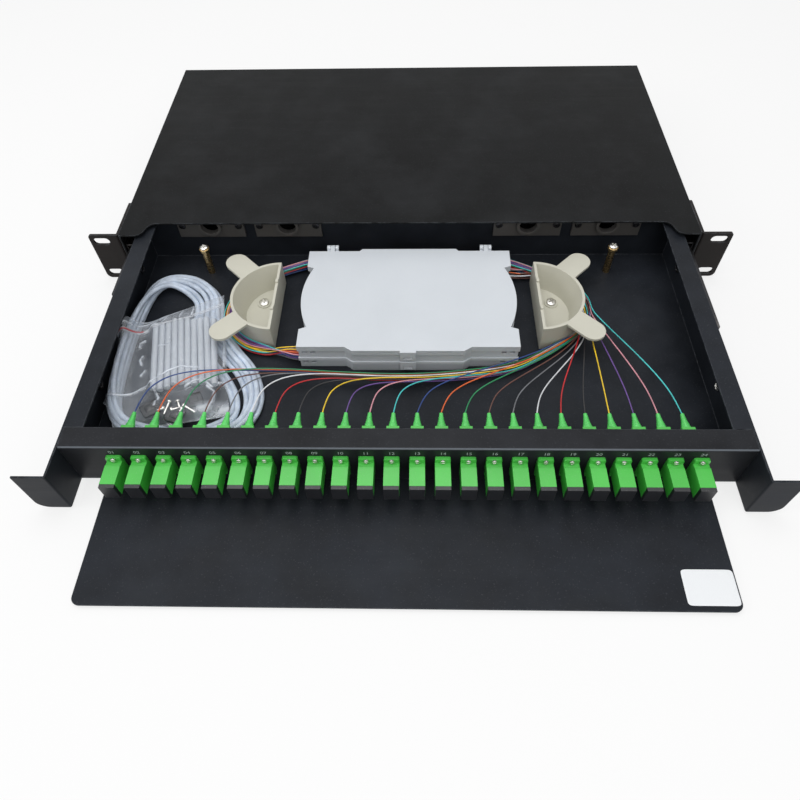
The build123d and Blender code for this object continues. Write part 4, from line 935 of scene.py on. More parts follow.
    def trunk(self, number: int) -> Points:
        """Route of one of the first twelve, along the trunk to the right spool."""
        radius, height = self.lane_of(number)
        across = self.ring_radius - radius
        tip = self.start(number)
        join_x = tip[0] + self.join
        stations = np.array(self.stations) + [0.0, self.spread * across]
        part = max(np.searchsorted(stations[:, 0], join_x) - 1, 0)
        step = stations[part + 1] - stations[part]
        heading = np.array([*(step / np.linalg.norm(step)), 0.0])
        join_y = stations[part, 1] + step[1] * (join_x - stations[part, 0]) / step[0]
        join = np.array([join_x, join_y, height + self.climb * (self.end_x - join_x)])
        first, last, lift = self.fan
        ends = [tip, tip + [0.0, first, 0.0], join - heading * last + [0.0, 0.0, lift], join]
        rest = stations[stations[:, 0] > join_x + self.clear]
        climbed = height + self.climb * (self.end_x - rest[:, :1]).clip(0)
        along = self.along(self.first_angle)
        left = np.array([-along[1], along[0], 0.0])
        entry = self.on_ring(self.first_angle, self.ring_radius, height) - along * self.lead
        curve = self.bezier(ends, self.fan_shares)
        return np.concatenate([curve, np.concatenate([rest, climbed], 1), [entry + left * across]])

    def crossing(self, number: int) -> Points:
        """Route of one of the last twelve, across the floor and on to the winding."""
        place = number - self.trunk_count - 1
        layer, lane = divmod(place, self.cross_lanes)
        angle = self.cross_angle + place * self.cross_step
        inside = self.ring_radius - self.ring_width / 2
        radius = inside + self.cross_edge + lane * self.cross_pitch
        height = self.ring_top + self.ring_lift + self.diameter / 2 + layer * self.cross_layer
        tip, end = self.start(number), self.on_ring(angle, radius, height)
        reach = np.linalg.norm(end - tip)
        share = place / (PORTS.count - self.trunk_count - 1)
        first, last, side = self.cross_handles
        heading = self.along(angle + share * self.cross_turn)
        pull = (last + share * (side - last)) * reach
        arrive = end - heading * pull + [0.0, 0.0, self.cross_lift]
        return self.bezier([tip, tip + [0.0, first * reach, 0.0], arrive, end], self.cross_shares)

    def onward(self, number: int, wave: Points) -> Points:
        """The way on from the winding's face or top, round the right spool and to a port.

        Args:
            number: the pigtail's number.
            wave: its own small offsets, from -0.5 to 0.5.

        Returns:
            The control points. Corners lie outside the ring by 1 over the cosine of half a step,
            so that the curve between them keeps to it.
        """
        radius, height = self.lane_of(number)
        place = max(number - self.trunk_count - 1, 0)
        first = self.first_angle if number <= self.trunk_count else self.cross_angle
        start = first + place * self.cross_step + self.ring_start
        angles = np.arange(start, self.ring_ends[number in self.early], self.ring_step)
        out = 1 / math.cos(math.radians(self.ring_step / 2))
        swayed = (radius + self.ring_sway * wave[: len(angles)]) * out
        points = self.on_ring(angles, swayed, height)
        if number in self.early:
            return np.concatenate([points, self.to_near_port(number, radius, height, wave)])
        row, column = divmod(self.behind.index(number), self.rear_columns)
        radius = self.rear_lane[0] + self.rear_pitch[0] * column
        height = self.rear_lane[1] + self.rear_pitch[1] * row
        side = radius - self.ring_radius
        turns = 180.0 - np.arange(*self.left_angles, self.ring_step)
        sway = np.split(wave[10 : 10 + 2 * len(turns)], 2)
        swayed = (radius + sway[0] * self.left_sway[0]) * out
        left = self.on_ring(turns, swayed, height + sway[1] * self.left_sway[1]) * [-1, 1, 1]
        rear = self.behind_trays(side, height, wave)
        return np.concatenate([points, rear, left, self.to_far_port(number, side, height, wave)])

    def to_near_port(self, number: int, radius: float, height: float, wave: Points) -> Points:
        """From the right spool into one of the near ports, its own place in four rows."""
        rank = self.early.index(number)
        y = self.near_port[0] + self.near_pitch[0] * rank
        z = self.near_port[1] + self.near_pitch[1] * (rank % self.near_rows)
        halfway = (y - self.near_half + self.spool[1] + radius) / 2 + wave[9]
        ys, zs = [halfway, y, y], [(height + z) / 2 + wave[10], z, z]
        return np.stack([self.near_x, ys, zs], -1)

    def behind_trays(self, side: float, height: float, wave: Points) -> Points:
        """From the right spool behind the trays to the left one.

        Each row of the table holds x, y, z over the lane's height, then how much x and y change by
        the lane's side, then how much y and z sway.
        """
        table = np.array(self.rear)
        points = table[:, :3] + [0.0, 0.0, height]
        points[:, :2] += side * table[:, 3:5]
        sway = table[:, 5:].copy()
        sway[sway > 0] *= wave[1:9]
        points[:, 1:] += sway
        return points

    def to_far_port(self, number: int, side: float, height: float, wave: Points) -> Points:
        """From the left spool into a far port: y and z near the port's, bit by bit.

        Each row for y holds y, how much it changes by the lane's side and by how far the port is
        from the ports' middle, how much it sways and by which offset. Each row for z holds how far
        the point lies over its level, how much it sways and by which offset.
        """
        column, row = divmod(self.before.index(number), self.far_rows)
        y = self.far_port[0] + self.far_pitch[0] * row
        z = self.far_port[1] + self.far_pitch[1] * column
        off = y - self.far_middle
        ys = [y0 + a * side + b * off + sway * wave[own] for y0, a, b, sway, own in self.far_y]
        levels = zip((height, (height + z) / 2, z, z, z), self.far_z)
        zs = [level + over + sway * wave[own] for level, (over, sway, own) in levels]
        return np.stack([self.far_x, [*ys, y, y + self.far_end], zs], -1)

    def build(self) -> None:
        rng = np.random.default_rng(self.seed)
        for number in range(1, PORTS.count + 1):
            route = self.trunk(number) if number <= self.trunk_count else self.crossing(number)
            wave = rng.uniform(-0.5, 0.5, self.offsets)
            points = np.concatenate([route, self.onward(number, wave)])
            jacket = Jacket.of(number)
            finish = FibreJacket(f"fibre_{jacket.name.lower()}", jacket.value, 0.34)
            piece = nurbs(f"fibre_{number:02d}", points * MM, self.diameter * MM, Body.DRAWER)
            piece.data.materials.append(finish.material())
            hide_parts(f"pigtail_{number:02d}", "fibre_winding")
            length = line_length(spline_points(piece))
            log.info("pigtail %02d: %.0f mm, %s", number, length / MM, jacket.name.lower())


def nurbs(
    name: str, points: Points, diameter: float, body: Body, roundness: int = 2
) -> Piece:
    """A round cord on one smooth NURBS line. The bevel is 1 and each point's radius is the cord's.

    Args:
        name: the piece's name.
        points: the line's control points, in metres.
        diameter: the cord's diameter, in metres.
        body: the body that it rides on.
        roundness: the bevel's resolution.

    Returns:
        The curve object.
    """
    curve = bpy.data.curves.new(name, "CURVE")
    curve.dimensions = "3D"
    spline = curve.splines.new("NURBS")
    spline.points.add(len(points) - 1)
    weighed = np.concatenate([points, np.ones((len(points), 1))], 1)
    spline.points.foreach_set("co", weighed.ravel())
    spline.points.foreach_set("radius", np.full(len(points), diameter / 2))
    spline.order_u = 3
    spline.use_endpoint_u = True
    curve.resolution_u = curve.render_resolution_u = 7
    curve.bevel_depth = 1.0
    curve.bevel_resolution = roundness
    curve.use_fill_caps = True
    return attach(in_scene(name, curve), body.value)


def spline_points(piece: Piece) -> Points:
    """The points of a cord's own line, in metres, read from its curve without the bevel."""
    line = in_scene(piece.name, piece.data.copy())
    data = line.data
    data.bevel_depth = 0.0
    mesh = bpy.data.meshes.new_from_object(line)
    points = np.zeros(len(mesh.vertices) * 3)
    mesh.vertices.foreach_get("co", points)
    bpy.data.objects.remove(line)
    bpy.data.curves.remove(data)
    bpy.data.meshes.remove(mesh)
    return points.reshape(-1, 3)


def line_length(line: Points) -> float:
    """The length of a line of points, rounded to a thousandth of its unit."""
    return round(float(np.linalg.norm(np.diff(line, axis=0), axis=1).sum()), 3)


@dataclass
class TubingCoil:
    """The coil of spare clear tubing beside the left spool, as one line. Millimetres.

    The loop is the bundle's middle line. Each side of the bundle holds two rows, with a number for
    every turn: how far outside the middle line it lies, and in which layer.
    """

    seed: int = 7
    diameter: float = 3.8
    floor: float = -18.5
    layer: float = 3.75
    sway: float = 0.4
    second_wave: float = 0.6
    loop: tuple = (
        (-176.0, -152.0), (-192.0, -138.0), (-197.0, -102.0), (-197.0, -40.0), (-190.0, -13.0),
        (-167.0, -13.0), (-147.5, -31.0), (-146.5, -56.0), (-131.0, -84.0), (-113.0, -104.0),
        (-105.0, -128.0), (-112.0, -146.0), (-130.0, -152.0),
    )
    middles: tuple[float, float, float, float] = (2.4, 5.0, 9.3, 12.3)
    reach: float = 1.7
    left: tuple = ((6.4, 2.5, 2.9, 6.4, 3.1, 6.4, 6.4, 6.2), (0, 0, 1, 1, 2, 2, 3, 4))
    rear: tuple = ((6.2, 2.3, -1.6, 4.3, 0.4, -3.5, -7.6, -12.0), (0, 0, 0, 1, 1, 1, 0.1, 0))
    right: tuple = ((9.3, 5.4, 1.5, 7.4, 3.5, -2.4, -9.4, -13.3), (0, 0, 0, 1, 1, 0, 0, 0))
    front: tuple = ((6.2, 2.3, -1.6, 4.3, 0.4, 5.9, 2.0, -4.6), (0, 0, 0, 1, 1, 2, 2, 0.6))

    def route(self) -> Points:
        """The control points of every turn.

        Each turn follows the loop, set outwards and up by its place in the bundle; the place at a
        corner is the sum of its places on the four sides, each weighted by how near the corner is
        to that side, and wanders a little by smooth waves of its own.
        """
        rng = np.random.default_rng(self.seed)
        loop = np.array(self.loop)
        count = len(loop)
        ahead = np.roll(loop, -1, axis=0) - np.roll(loop, 1, axis=0)
        ahead /= np.linalg.norm(ahead, axis=1)[:, None]
        outward = np.stack([-ahead[:, 1], ahead[:, 0]], -1)
        corners = np.arange(count)
        apart = (corners - np.array(self.middles)[:, None] + count / 2) % count - count / 2
        near = np.exp(-((apart / self.reach) ** 2))
        near /= near.sum(axis=0)
        sides = np.array([self.left, self.rear, self.right, self.front])
        places = np.einsum("sc,skt->tck", near, sides)
        phase = rng.uniform(0, 2 * np.pi, (sides.shape[2], 2))
        wave = corners * 2 * np.pi / count
        swing = np.sin(phase[:, :1] + wave) + self.second_wave * np.sin(phase[:, 1:] + 2 * wave)
        across = places[:, :, 0] + self.sway * swing * (1 - near[0])
        height = self.floor + self.diameter / 2 + self.layer * places[:, :, 1]
        flat = loop[None] + across[:, :, None] * outward[None]
        return np.concatenate([flat, height[:, :, None]], -1).reshape(-1, 3)

    def build(self) -> Points:
        """Returns: its line, in millimetres."""
        points = self.route() * MM
        piece = nurbs("clear_tubing", points, self.diameter * MM, Body.DRAWER, 3)
        Finishes.TUBE.put_on(piece)
        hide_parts("tubing_coil")
        line = spline_points(piece)
        return line / MM


@dataclass
class AccessoryBag:
    """The flat zip bag of spare parts that lies on the coil. Millimetres.

    In the bag's own frame u runs across it and v along it, from its middle.
    """

    middle: Pair = (-160.4, -95.0)
    turn: float = 12.0
    under: float = -11.0
    left: float = 40.0
    right: float = 34.0
    front: float = -54.0
    rear: Pair = (48.0, 0.3)
    flap: Triple = (9.0, -23.0, 12.0)
    corner: tuple[float, float, float, float] = (-42.0, 35.0, 12.0, 10.0)
    wall: float = -204.4
    wall_give: float = 0.05
    wall_climb: float = 0.8
    below_boots: Pair = (-186.0, -5.7)

    map_x: Pair = (-208.0, -116.0)
    map_y: Pair = (-160.0, -16.0)
    cell: float = 0.75
    tube_radius: float = 1.9
    bed_gap: float = 0.4
    stamp_step: float = 0.6
    sag: float = 0.012
    sag_rounds: int = 90

    rows: int = 190
    columns: int = 130
    side_crowding: float = 0.3
    lift: float = 0.3
    thinnest: float = 0.02
    edge_wave: float = 0.35
    wave_turns: Pair = (0.12, 0.33)
    wave_ends: Pair = (12.0, 3.0)
    wave_least: float = -0.2
    ripple: float = 0.3
    ripple_turns: tuple = ((0.21, 0.37), (0.29, -0.17))
    ripple_ends: Pair = (3.0, 9.0)
    ridge: float = 0.9
    ridge_width: float = 1.1
    ridge_ends: Pair = (0.5, 3.0)
    slack: float = 1.0
    swell_ends: Pair = (0.0, 6.0)
    sleeve_swell: float = 3.4
    sleeve_rib: float = 0.22
    sleeve_ends: Pair = (-4.0, 2.0)
    sleeve_sides: Pair = (-3.0, 1.0)
    pad_swell: float = 4.4
    pad_front: Pair = (30.0, 36.0)
    pad_side: float = 24.0
    pad_ends: Pair = (-4.0, 4.0)

    pale_zip: tuple = (0.16, (-17.0, -12.0))
    pale_pack: tuple = (0.14, (26.0, 21.0), (-27.0, -22.0))
    pale_wad: tuple = (0.45, (10.0, 16.0), (40.0, 46.0))
    pale_seam: tuple = (0.5, (1.6, 0.6), (-6.0, 12.0))
    # Painted highlight along the folds: its share and width.
    fold_highlight: Pair = (0.9, 0.75)
    pale_under: float = 0.4

    zip_short: float = 0.5
    zip_end: float = -24.0
    zip_steps: int = 90
    zip_sides: int = 8
    zip_edge: float = 9.0
    zip_rise: float = 0.2

    seed: int = 5
    sleeves: int = 10
    sleeve_pitch: float = 4.6
    sleeve_shift: float = 5.0
    sleeve_from: float = -24.0
    sleeve_length: float = 60.0
    sleeve_height: float = -8.4
    sleeve_slant: float = 0.012
    sleeve_slip: float = 2.2
    sleeve_fall: Pair = (0.10, 4.0)
    sleeve_mouth: float = 0.8
    sleeve_lip: float = 0.3
    sleeve_facets: int = 14

    pad_outline: Pair = (28, 0.35)
    pad_half: Triple = (6.0, 5.5, 1.3)
    pad_rise: float = 2.2
    pads: tuple = ((-17.5, -38.5), (-1.0, -47.0), (11.0, -37.5))
    pad_turns: Triple = (0.4, 1.0, 0.2)
    pad_rings: tuple = (
        (0.0, -1.0), (0.93, -1.0), (1.0, -0.7), (1.0, 0.4), (0.93, 0.7), (0.55, 0.75), (0.5, 1.0),
        (0.42, 1.25), (0.0, 1.3),
    )
    # Fold lines: ridges in the film's shape, along which a highlight is also painted.
    folds: tuple = (
        ((-47.0, -23.5), (-40.0, -26.0), (-28.0, -22.5), (-17.0, -17.5), (-5.0, -10.5), (3.0, -8.5),
         (15.0, -12.5)),
        ((-27.5, 28.0), (-19.0, 33.0), (-12.0, 38.5), (-7.5, 44.0)),
        ((-13.5, 42.0), (-6.0, 45.5), (5.0, 49.5)),
        ((-41.0, 29.0), (-27.0, 34.5), (-10.0, 45.5)),
        ((6.0, -25.5), (12.0, -23.0), (18.0, -22.5), (23.0, -28.0), (30.5, -26.5)),
        ((-23.0, 22.5), (-26.0, 20.0), (-26.5, 17.0)),
        ((-24.0, 8.0), (-26.0, 5.0), (-25.0, 1.0)),
        ((-22.0, -5.0), (-25.0, -9.0)),
        ((-12.4, 13.5), (-8.0, 13.2), (-4.2, 14.3)),
        ((20.0, -27.0), (25.0, -33.0), (24.0, -42.0), (20.0, -50.0)),
        ((-15.0, -24.0), (-12.5, -30.0), (-14.0, -38.0)),
        ((10.0, 42.0), (11.5, 48.0), (10.5, 53.0)),
        ((1.0, 41.0), (3.0, 46.0), (2.0, 51.0)),
        ((31.5, 30.0), (32.5, 10.0), (32.0, -12.0)),
    )

    def place(self, local: Points) -> Points:
        """Points of the bag's own frame in the panel's, in metres: turned about Z, then moved."""
        angle = math.radians(self.turn)
        cos, sin = math.cos(angle), math.sin(angle)
        turn = np.array([[cos, -sin, 0.0], [sin, cos, 0.0], [0.0, 0.0, 1.0]])
        return (local @ turn.T + [*self.middle, 0.0]) * MM

    @staticmethod
    def step(value: Points, low: float, high: float) -> Points:
        """A smooth step from 0 at low to 1 at high: 3 t squared less 2 t cubed."""
        t = np.clip((value - low) / (high - low), 0.0, 1.0)
        return t * t * (3 - 2 * t)

    def bed(self, tubes: Points) -> tuple[Points, Points, Points]:
        """What the bag lies on, as heights on a map of square cells.

        Each point of the coil's line stamps the upper half of a ball of the tubing's radius; the
        film then spans the hollows: its height is the greater of the stamps and the mean of its
        four neighbours, less a little weight, worked out over and over.

        Args:
            tubes: the coil's line, n by 3.

        Returns:
            The cells' X, their Y and the heights.
        """
        x, y = np.arange(*self.map_x, self.cell), np.arange(*self.map_y, self.cell)
        steps = np.linalg.norm(np.diff(tubes, axis=0), axis=1)
        along = np.concatenate([[0.0], np.cumsum(steps)])
        shares = np.arange(0.0, along[-1], self.stamp_step)
        dense = np.stack([np.interp(shares, along, tubes[:, k]) for k in range(3)], -1)
        reach = int(self.tube_radius / self.cell) + 1
        near = np.arange(-reach, reach + 1)
        i, j = (g.ravel() for g in np.meshgrid(near, near, indexing="ij"))
        ix = np.rint((dense[:, 0] - x[0]) / self.cell).astype(int)[:, None] + i
        iy = np.rint((dense[:, 1] - y[0]) / self.cell).astype(int)[:, None] + j
        inside = (ix >= 0) & (ix < len(x)) & (iy >= 0) & (iy < len(y))
        ix, iy = ix.clip(0, len(x) - 1), iy.clip(0, len(y) - 1)
        off = self.tube_radius**2 - (x[ix] - dense[:, :1]) ** 2 - (y[iy] - dense[:, 1:2]) ** 2
        top = np.where(inside & (off > 0), dense[:, 2:] + np.sqrt(off.clip(0)), -np.inf)
        firm = np.full((len(x), len(y)), self.under + self.bed_gap)
        np.maximum.at(firm, (ix, iy), top)
        height = firm
        for _ in range(self.sag_rounds):
            mean = sum(np.roll(height, s, axis=a) for s in (1, -1) for a in (0, 1)) / 4
            height = np.maximum(firm, mean - self.sag)
        return x, y, height

    def level(self, bed: tuple[Points, Points, Points], flat: Points) -> Points:
        """The bed's height under points, between its cells by shares of the four nearest."""
        x, y, height = bed
        gx = ((flat[..., 0] - x[0]) / self.cell).clip(0, len(x) - 1.001)
        gy = ((flat[..., 1] - y[0]) / self.cell).clip(0, len(y) - 1.001)
        i, j = gx.astype(int), gy.astype(int)
        a, b = gx - i, gy - j
        low = height[i, j] * (1 - b) + height[i, j + 1] * b
        high = height[i + 1, j] * (1 - b) + height[i + 1, j + 1] * b
        return low * (1 - a) + high * a

    def fold_share(self, u: Points, v: Points, width: float) -> Points:
        """How near points are to a fold, 0 to 1: exp of minus the square of distance over width."""
        best = np.full(u.shape, np.inf)
        for fold in self.folds:
            for (u0, v0), (u1, v1) in zip(fold, fold[1:]):
                du, dv = u1 - u0, v1 - v0
                t = (((u - u0) * du + (v - v0) * dv) / (du * du + dv * dv)).clip(0, 1)
                best = np.minimum(best, np.hypot(u - u0 - t * du, v - v0 - t * dv))
        return np.exp(-((best / width) ** 2))

    def rear_edge(self, u: Points) -> Points:
        """Where the bag's rear edge is, at places across it: a line that falls to the left."""
        return self.rear[0] + self.rear[1] * u

    def fill(self, u: Points, v: Points) -> Points:
        """How thick the contents hold the bag open: more over the sleeves and the small parts."""
        across = u - self.sleeve_shift
        past = np.minimum(v - self.sleeve_from, self.sleeve_from + self.sleeve_length - v)
        held = self.step(past, *self.sleeve_ends)
        half = self.sleeves * self.sleeve_pitch / 2
        inside = self.step(half - np.abs(across), *self.sleeve_sides)
        rib = self.sleeve_rib * np.cos(2 * np.pi * (across / self.sleeve_pitch + 0.5))
        near = self.step(self.pad_side - np.abs(u), *self.pad_ends)
        small = self.step(-v, *self.pad_front) * near
        over_sleeves = self.slack + held * inside * (self.sleeve_swell + rib)
        return np.maximum(over_sleeves, self.pad_swell * small)

    def heights(
        self, bed: tuple, u: Points, v: Points, edge: Points
    ) -> tuple[Points, Points, Points]:
        """The film's places and heights.

        Args:
            bed: what the bag lies on.
            u: places across the bag.
            v: places along it.
            edge: distances from the bag's seam.

        Returns:
            The places in the panel's plane, the lower film's heights and the upper film's.
        """
        flat = self.place(np.stack([u, v, np.zeros_like(u)], -1)) / MM
        beyond = (self.wall - flat[..., 0]).clip(0)
        flat[..., 0] = np.maximum(flat[..., 0], self.wall + self.wall_give * beyond)
        cu, cv, rise, size = self.corner
        stand = rise * np.exp(-((u - cu) ** 2 + (v - cv) ** 2) / size**2)
        a, b = self.wave_turns
        wave = self.edge_wave * np.sin(a * u + b * v) * self.step(edge, *self.wave_ends)
        rest = self.level(bed, flat) + self.lift
        lower = rest + stand + self.wall_climb * beyond + wave.clip(self.wave_least)
        ridge = self.ridge * self.fold_share(u, v, self.ridge_width)
        ridge *= self.step(edge, *self.ridge_ends)
        (a, b), (c, d) = self.ripple_turns
        soft = self.ripple * np.sin(a * u + b * v) * np.sin(c * u + d * v)
        soft *= self.step(edge, *self.ripple_ends)
        upper = lower + self.step(edge, *self.swell_ends) * self.fill(u, v) + ridge + soft
        right_of, most = self.below_boots
        cap = np.where(flat[..., 0] > right_of, most, np.inf)
        return flat, lower, np.maximum(np.minimum(upper, cap), lower + self.thinnest)

    def paleness(self, u: Points, v: Points, edge: Points) -> Points:
        """How pale the film is at its seam, zip, sleeves and the wad at its front right, with a
        painted highlight along its folds.

        Each has its share, and the ends of the steps by which it sets in.
        """
        share, ends = self.pale_zip
        zipped = share * self.step(v - self.rear_edge(u), *ends)
        share, sides, front = self.pale_pack
        packed = share * (self.step(np.abs(u - self.sleeve_shift), *sides) * self.step(v, *front))
        share, right, front = self.pale_wad
        wad = share * self.step(u, *right) * self.step(-v, *front)
        share, rim, left = self.pale_seam
        seam = share * self.step(edge, *rim) * self.step(-u, *left)
        # Painted highlight along the folds, joined with the seam.
        share, width = self.fold_highlight
        highlight_and_seam = np.maximum(share * self.fold_share(u, v, width), seam)
        return np.maximum(highlight_and_seam, np.maximum(zipped, packed) + wad)

    @staticmethod
    def closed(top: Points, under: Points) -> Points:
        """Rows over the top and back under it, with both ends shut by the top's own rows."""
        first, last = (np.concatenate([top[i], top[i][::-1]])[None] for i in (0, -1))
        return np.concatenate([first, np.concatenate([top, under[:, ::-1]], axis=1), last])

    def film(self, bed: tuple) -> Piece:
        """The film: a flat tube closed all round, draped over the coil and its own contents.

        Its outline is the bag's: the left edge has a corner pulled out, the rear edge slants. Each
        point also carries how pale the film is there, with a painted highlight along its folds.
        """
        even, crowd = np.linspace(0.0, 1.0, self.columns), self.side_crowding
        eased = (1 - np.cos(np.linspace(0.0, np.pi, self.columns))) / 2
        share = eased * crowd + even * (1 - crowd)
        s, t = np.meshgrid(share, np.linspace(0.0, 1.0, self.rows), indexing="xy")
        pull, at, spread = self.flap
        v0 = self.front + t * (self.rear[0] - self.front)
        u0 = -self.left - pull * np.exp(-np.abs(v0 - at) / spread)
        wide = self.right - u0
        u = u0 + s * wide
        long = self.rear_edge(u) - self.front
        v = self.front + t * long
        edge = np.minimum(np.minimum(s, 1 - s) * wide, np.minimum(t, 1 - t) * long)
        flat, *both = self.heights(bed, u, v, edge)
        under, top = (np.concatenate([flat[..., :2], h[..., None]], -1) for h in both)
        shape = MadeShape.grid(self.closed(top, under) * MM, close_across=True)
        piece = shape.piece("bag_film", Body.DRAWER, Finishes.FILM)
        pale = self.paleness(u, v, edge)
        values = self.closed(pale, self.pale_under * pale).ravel()
        # The fold attribute carries the paleness, with the painted highlight along the folds.
        piece.data.attributes.new("fold", "FLOAT", "POINT").data.foreach_set("value", values)
        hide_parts("accessory_bag")
        return piece

    def zip(self, bed: tuple) -> list[Piece]:
        """The zip: two clear ridges of film at the rear edge, and a red stripe at its left end."""
        made = []
        for name, finish, right_end, offsets, radius in (
            ("bag_zip", Finishes.ZIP_CLEAR, self.right - self.zip_short, (9.8, 11.4), 0.4),
            ("zip_stripe", Finishes.ZIP_RED, self.zip_end, (10.6, 10.2), 0.5),
        ):
            u = np.linspace(-self.left, right_end, self.zip_steps)
            section = np.pad(ring(self.zip_sides), ((0, 0), (1, 0))) * radius
            shapes = []
            for offset in offsets:
                v = self.rear_edge(u) - offset
                flat, _, upper = self.heights(bed, u, v, np.full_like(u, self.zip_edge))
                line = np.concatenate([flat[:, :2], upper[:, None] + self.zip_rise], -1)
                shapes.append(MadeShape.grid((line[:, None] + section) * MM, close_across=True))
            piece = shapes[0].joined(shapes[1]).piece(name, Body.DRAWER, finish)
            made.append(piece)
        return made

    def sleeve_bundle(self) -> None:
        """The splice sleeves: a clear outer tube round a steel rod and a small inner tube."""
        across = np.arange(self.sleeves) - (self.sleeves - 1) / 2
        places = self.sleeve_shift + across * self.sleeve_pitch
        rng = np.random.default_rng(self.seed)
        slant = rng.uniform(-self.sleeve_slant, self.sleeve_slant, self.sleeves)
        slip = rng.uniform(-self.sleeve_slip, self.sleeve_slip, self.sleeves)
        fall, right_of = self.sleeve_fall
        slip -= fall * (places - right_of).clip(0)
        for name, finish, radius, offset, shorter, sunk in (
            ("sleeve_tubes", Finishes.SLEEVE, 2.25, 0.0, 0.0, 0.0),
            ("sleeve_rods", Finishes.BRIGHT_SCREW, 0.55, -0.85, 3.0, 0.3),
            ("sleeve_cores", Finishes.SLEEVE, 0.75, 0.75, 3.0, 0.3),
        ):
            reach, lip = self.sleeve_length - shorter, self.sleeve_lip
            inner = radius * self.sleeve_mouth
            radii = [0, inner, radius, radius, inner, 0]
            heights = [0, 0, lip, reach - lip, reach, reach]
            frames = np.zeros((self.sleeves, 4, 4))
            frames[:, 0, 0] = frames[:, 1, 2] = frames[:, 3, 3] = 1.0
            frames[:, 2, 1] = -1.0
            frames[:, 0, 2] = slant
            frames[:, 0, 3] = places + offset - slant * self.sleeve_length / 2
            frames[:, 1, 3] = self.sleeve_from + shorter / 2 + slip
            frames[:, 2, 3] = self.sleeve_height - sunk
            shape = stack(ring(self.sleeve_facets), radii, heights).moved(frames)
            shape.points = self.place(shape.points)
            piece = shape.piece(name, Body.DRAWER, finish)
            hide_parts("splice_sleeves")

    def mounts(self) -> None:
        """Three black nylon clip pads at the bag's front: square pads with a raised bridge."""
        pad = stack(ring(*self.pad_outline), *np.array(self.pad_rings).T)
        pad.points = pad.points * self.pad_half
        places = np.array([[*pad, self.under + self.pad_rise] for pad in self.pads])
        shape = pad.moved(frames_at(places, (0.0, 0.0, 1.0), self.pad_turns))
        shape.points = self.place(shape.points)
        piece = shape.piece("clip_pads", Body.DRAWER, Finishes.NYLON)

    def build(self, tubes: Points) -> None:
        """Makes the film and what it holds. Args: tubes: the coil's line."""
        bed = self.bed(tubes)
        film = self.film(bed)
        zip_pieces = self.zip(bed)
        self.sleeve_bundle()
        self.mounts()
        area = sum(face.area for face in film.data.polygons)
        log.info("bag: film of %.0f square mm", area / MM**2)


@dataclass
class Boots:
    """The boots behind the connectors: a flared foot, ribs and a slim neck. Millimetres."""

    start: float = -157.0
    height: float = -0.1
    length: float = 11.7
    sections: int = 60
    segments: int = 18
    foot: float = 2.6
    mouth: float = 1.05
    lip: float = 0.1
    slope: tuple = ((0.0, 1.5, 6.5, 11.7), (2.9, 2.9, 1.75, 1.2))
    rib: float = 0.22
    rib_pitch: float = 1.55
    ribbed: Pair = (1.6, 9.4)

    def build(self) -> None:
        """Makes all boots one piece: a turned profile with five ribs on its slope."""
        along = np.linspace(0.0, self.length, self.sections)
        first, last = self.ribbed
        wave = np.clip(np.sin(2 * np.pi * (along - first) / self.rib_pitch), -1, 1)
        ribs = self.rib * wave * ((along > first) & (along < last))
        radii = np.concatenate([[0.0, self.foot], np.interp(along, *self.slope) + ribs])
        radii = np.concatenate([radii, [self.mouth, 0.0]])
        end = self.length + self.lip
        heights = np.concatenate([[0.0, 0.0], along + self.lip, [end, end]])
        turned = stack(ring(self.segments), radii, heights)
        x = PORTS.all()
        rest = [np.full(PORTS.count, self.start), np.full(PORTS.count, self.height)]
        shape = turned.moved(frames_at(np.stack([x, *rest], -1), (0.0, 1.0, 0.0)))
        shape.points = shape.points * MM
        piece = shape.piece("ribbed_boots", Body.DRAWER, Finishes.GREEN_SOFT)
        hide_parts("connector_boots")


@dataclass(frozen=True)
class PanScrew:
    """A pan head screw with a cross recess. Millimetres; shares are of the head's radius."""

    head: float
    rise: float
    shank: float
    length: float
    recess: float = 0.62
    bar: float = 0.13
    flank: float = 0.05
    end: float = 0.12
    sink: float = 0.55
    curve: float = 0.62
    segments: int = 40
    dome: tuple = (0.99, 0.95, 0.88, 0.8, 0.7, 0.6, 0.5, 0.42, 0.34, 0.26, 0.18, 0.1, 0.0)

    def shape(self) -> MadeShape:
        """The screw with its head's seat at height 0 and its shank below.

        Rings from the shank's tip to its root, out under the head, up its rim and in over its dome;
        the dome's height is rise times the root of 1 - curve r squared, less the recess where the
        distance to the nearer of two crossed bars is inside a bar's half width.
        """
        head, shank, rise, low = self.head, self.shank, self.rise, -self.length
        radii = [0.0, 0.7 * shank, shank, shank, 0.94 * head, head, head]
        heights = [low, low, low + 0.4 * shank, 0.0, 0.0, 0.05 * rise, 0.3 * rise]
        inward = np.array(self.dome)
        base = np.concatenate([heights, rise * np.sqrt(1 - self.curve * inward**2)])
        made = stack(ring(self.segments), np.concatenate([radii, inward * head]), base)
        across = np.abs(made.points[:, :2])
        bar, reach = across.min(axis=1) / head, across.max(axis=1) / head
        cross = np.clip((self.bar - bar) / self.flank, 0, 1)
        cross *= np.clip((self.recess - reach) / self.end, 0, 1)
        cross[: len(radii) * self.segments] = 0.0
        made.points[:, 2] -= self.sink * rise * cross
        return made


@dataclass(frozen=True)
class ScrewSet:
    """Equal screws that make one piece. Millimetres."""

    name: str
    node: str
    screw: PanScrew
    places: Points
    axes: Points
    finish: Finishes
    slot: str
    body: Body = Body.DRAWER

    def build(self) -> None:
        """Makes the piece: each screw at its place, its head along its axis, turned by chance."""
        rng = np.random.default_rng(len(self.places))
        turns = rng.uniform(0, np.pi / 2, len(self.places))
        shape = self.screw.shape().moved(frames_at(self.places, self.axes, turns))
        shape.points = shape.points * MM
        piece = shape.piece(self.name, self.body, self.finish)
        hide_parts(self.node)


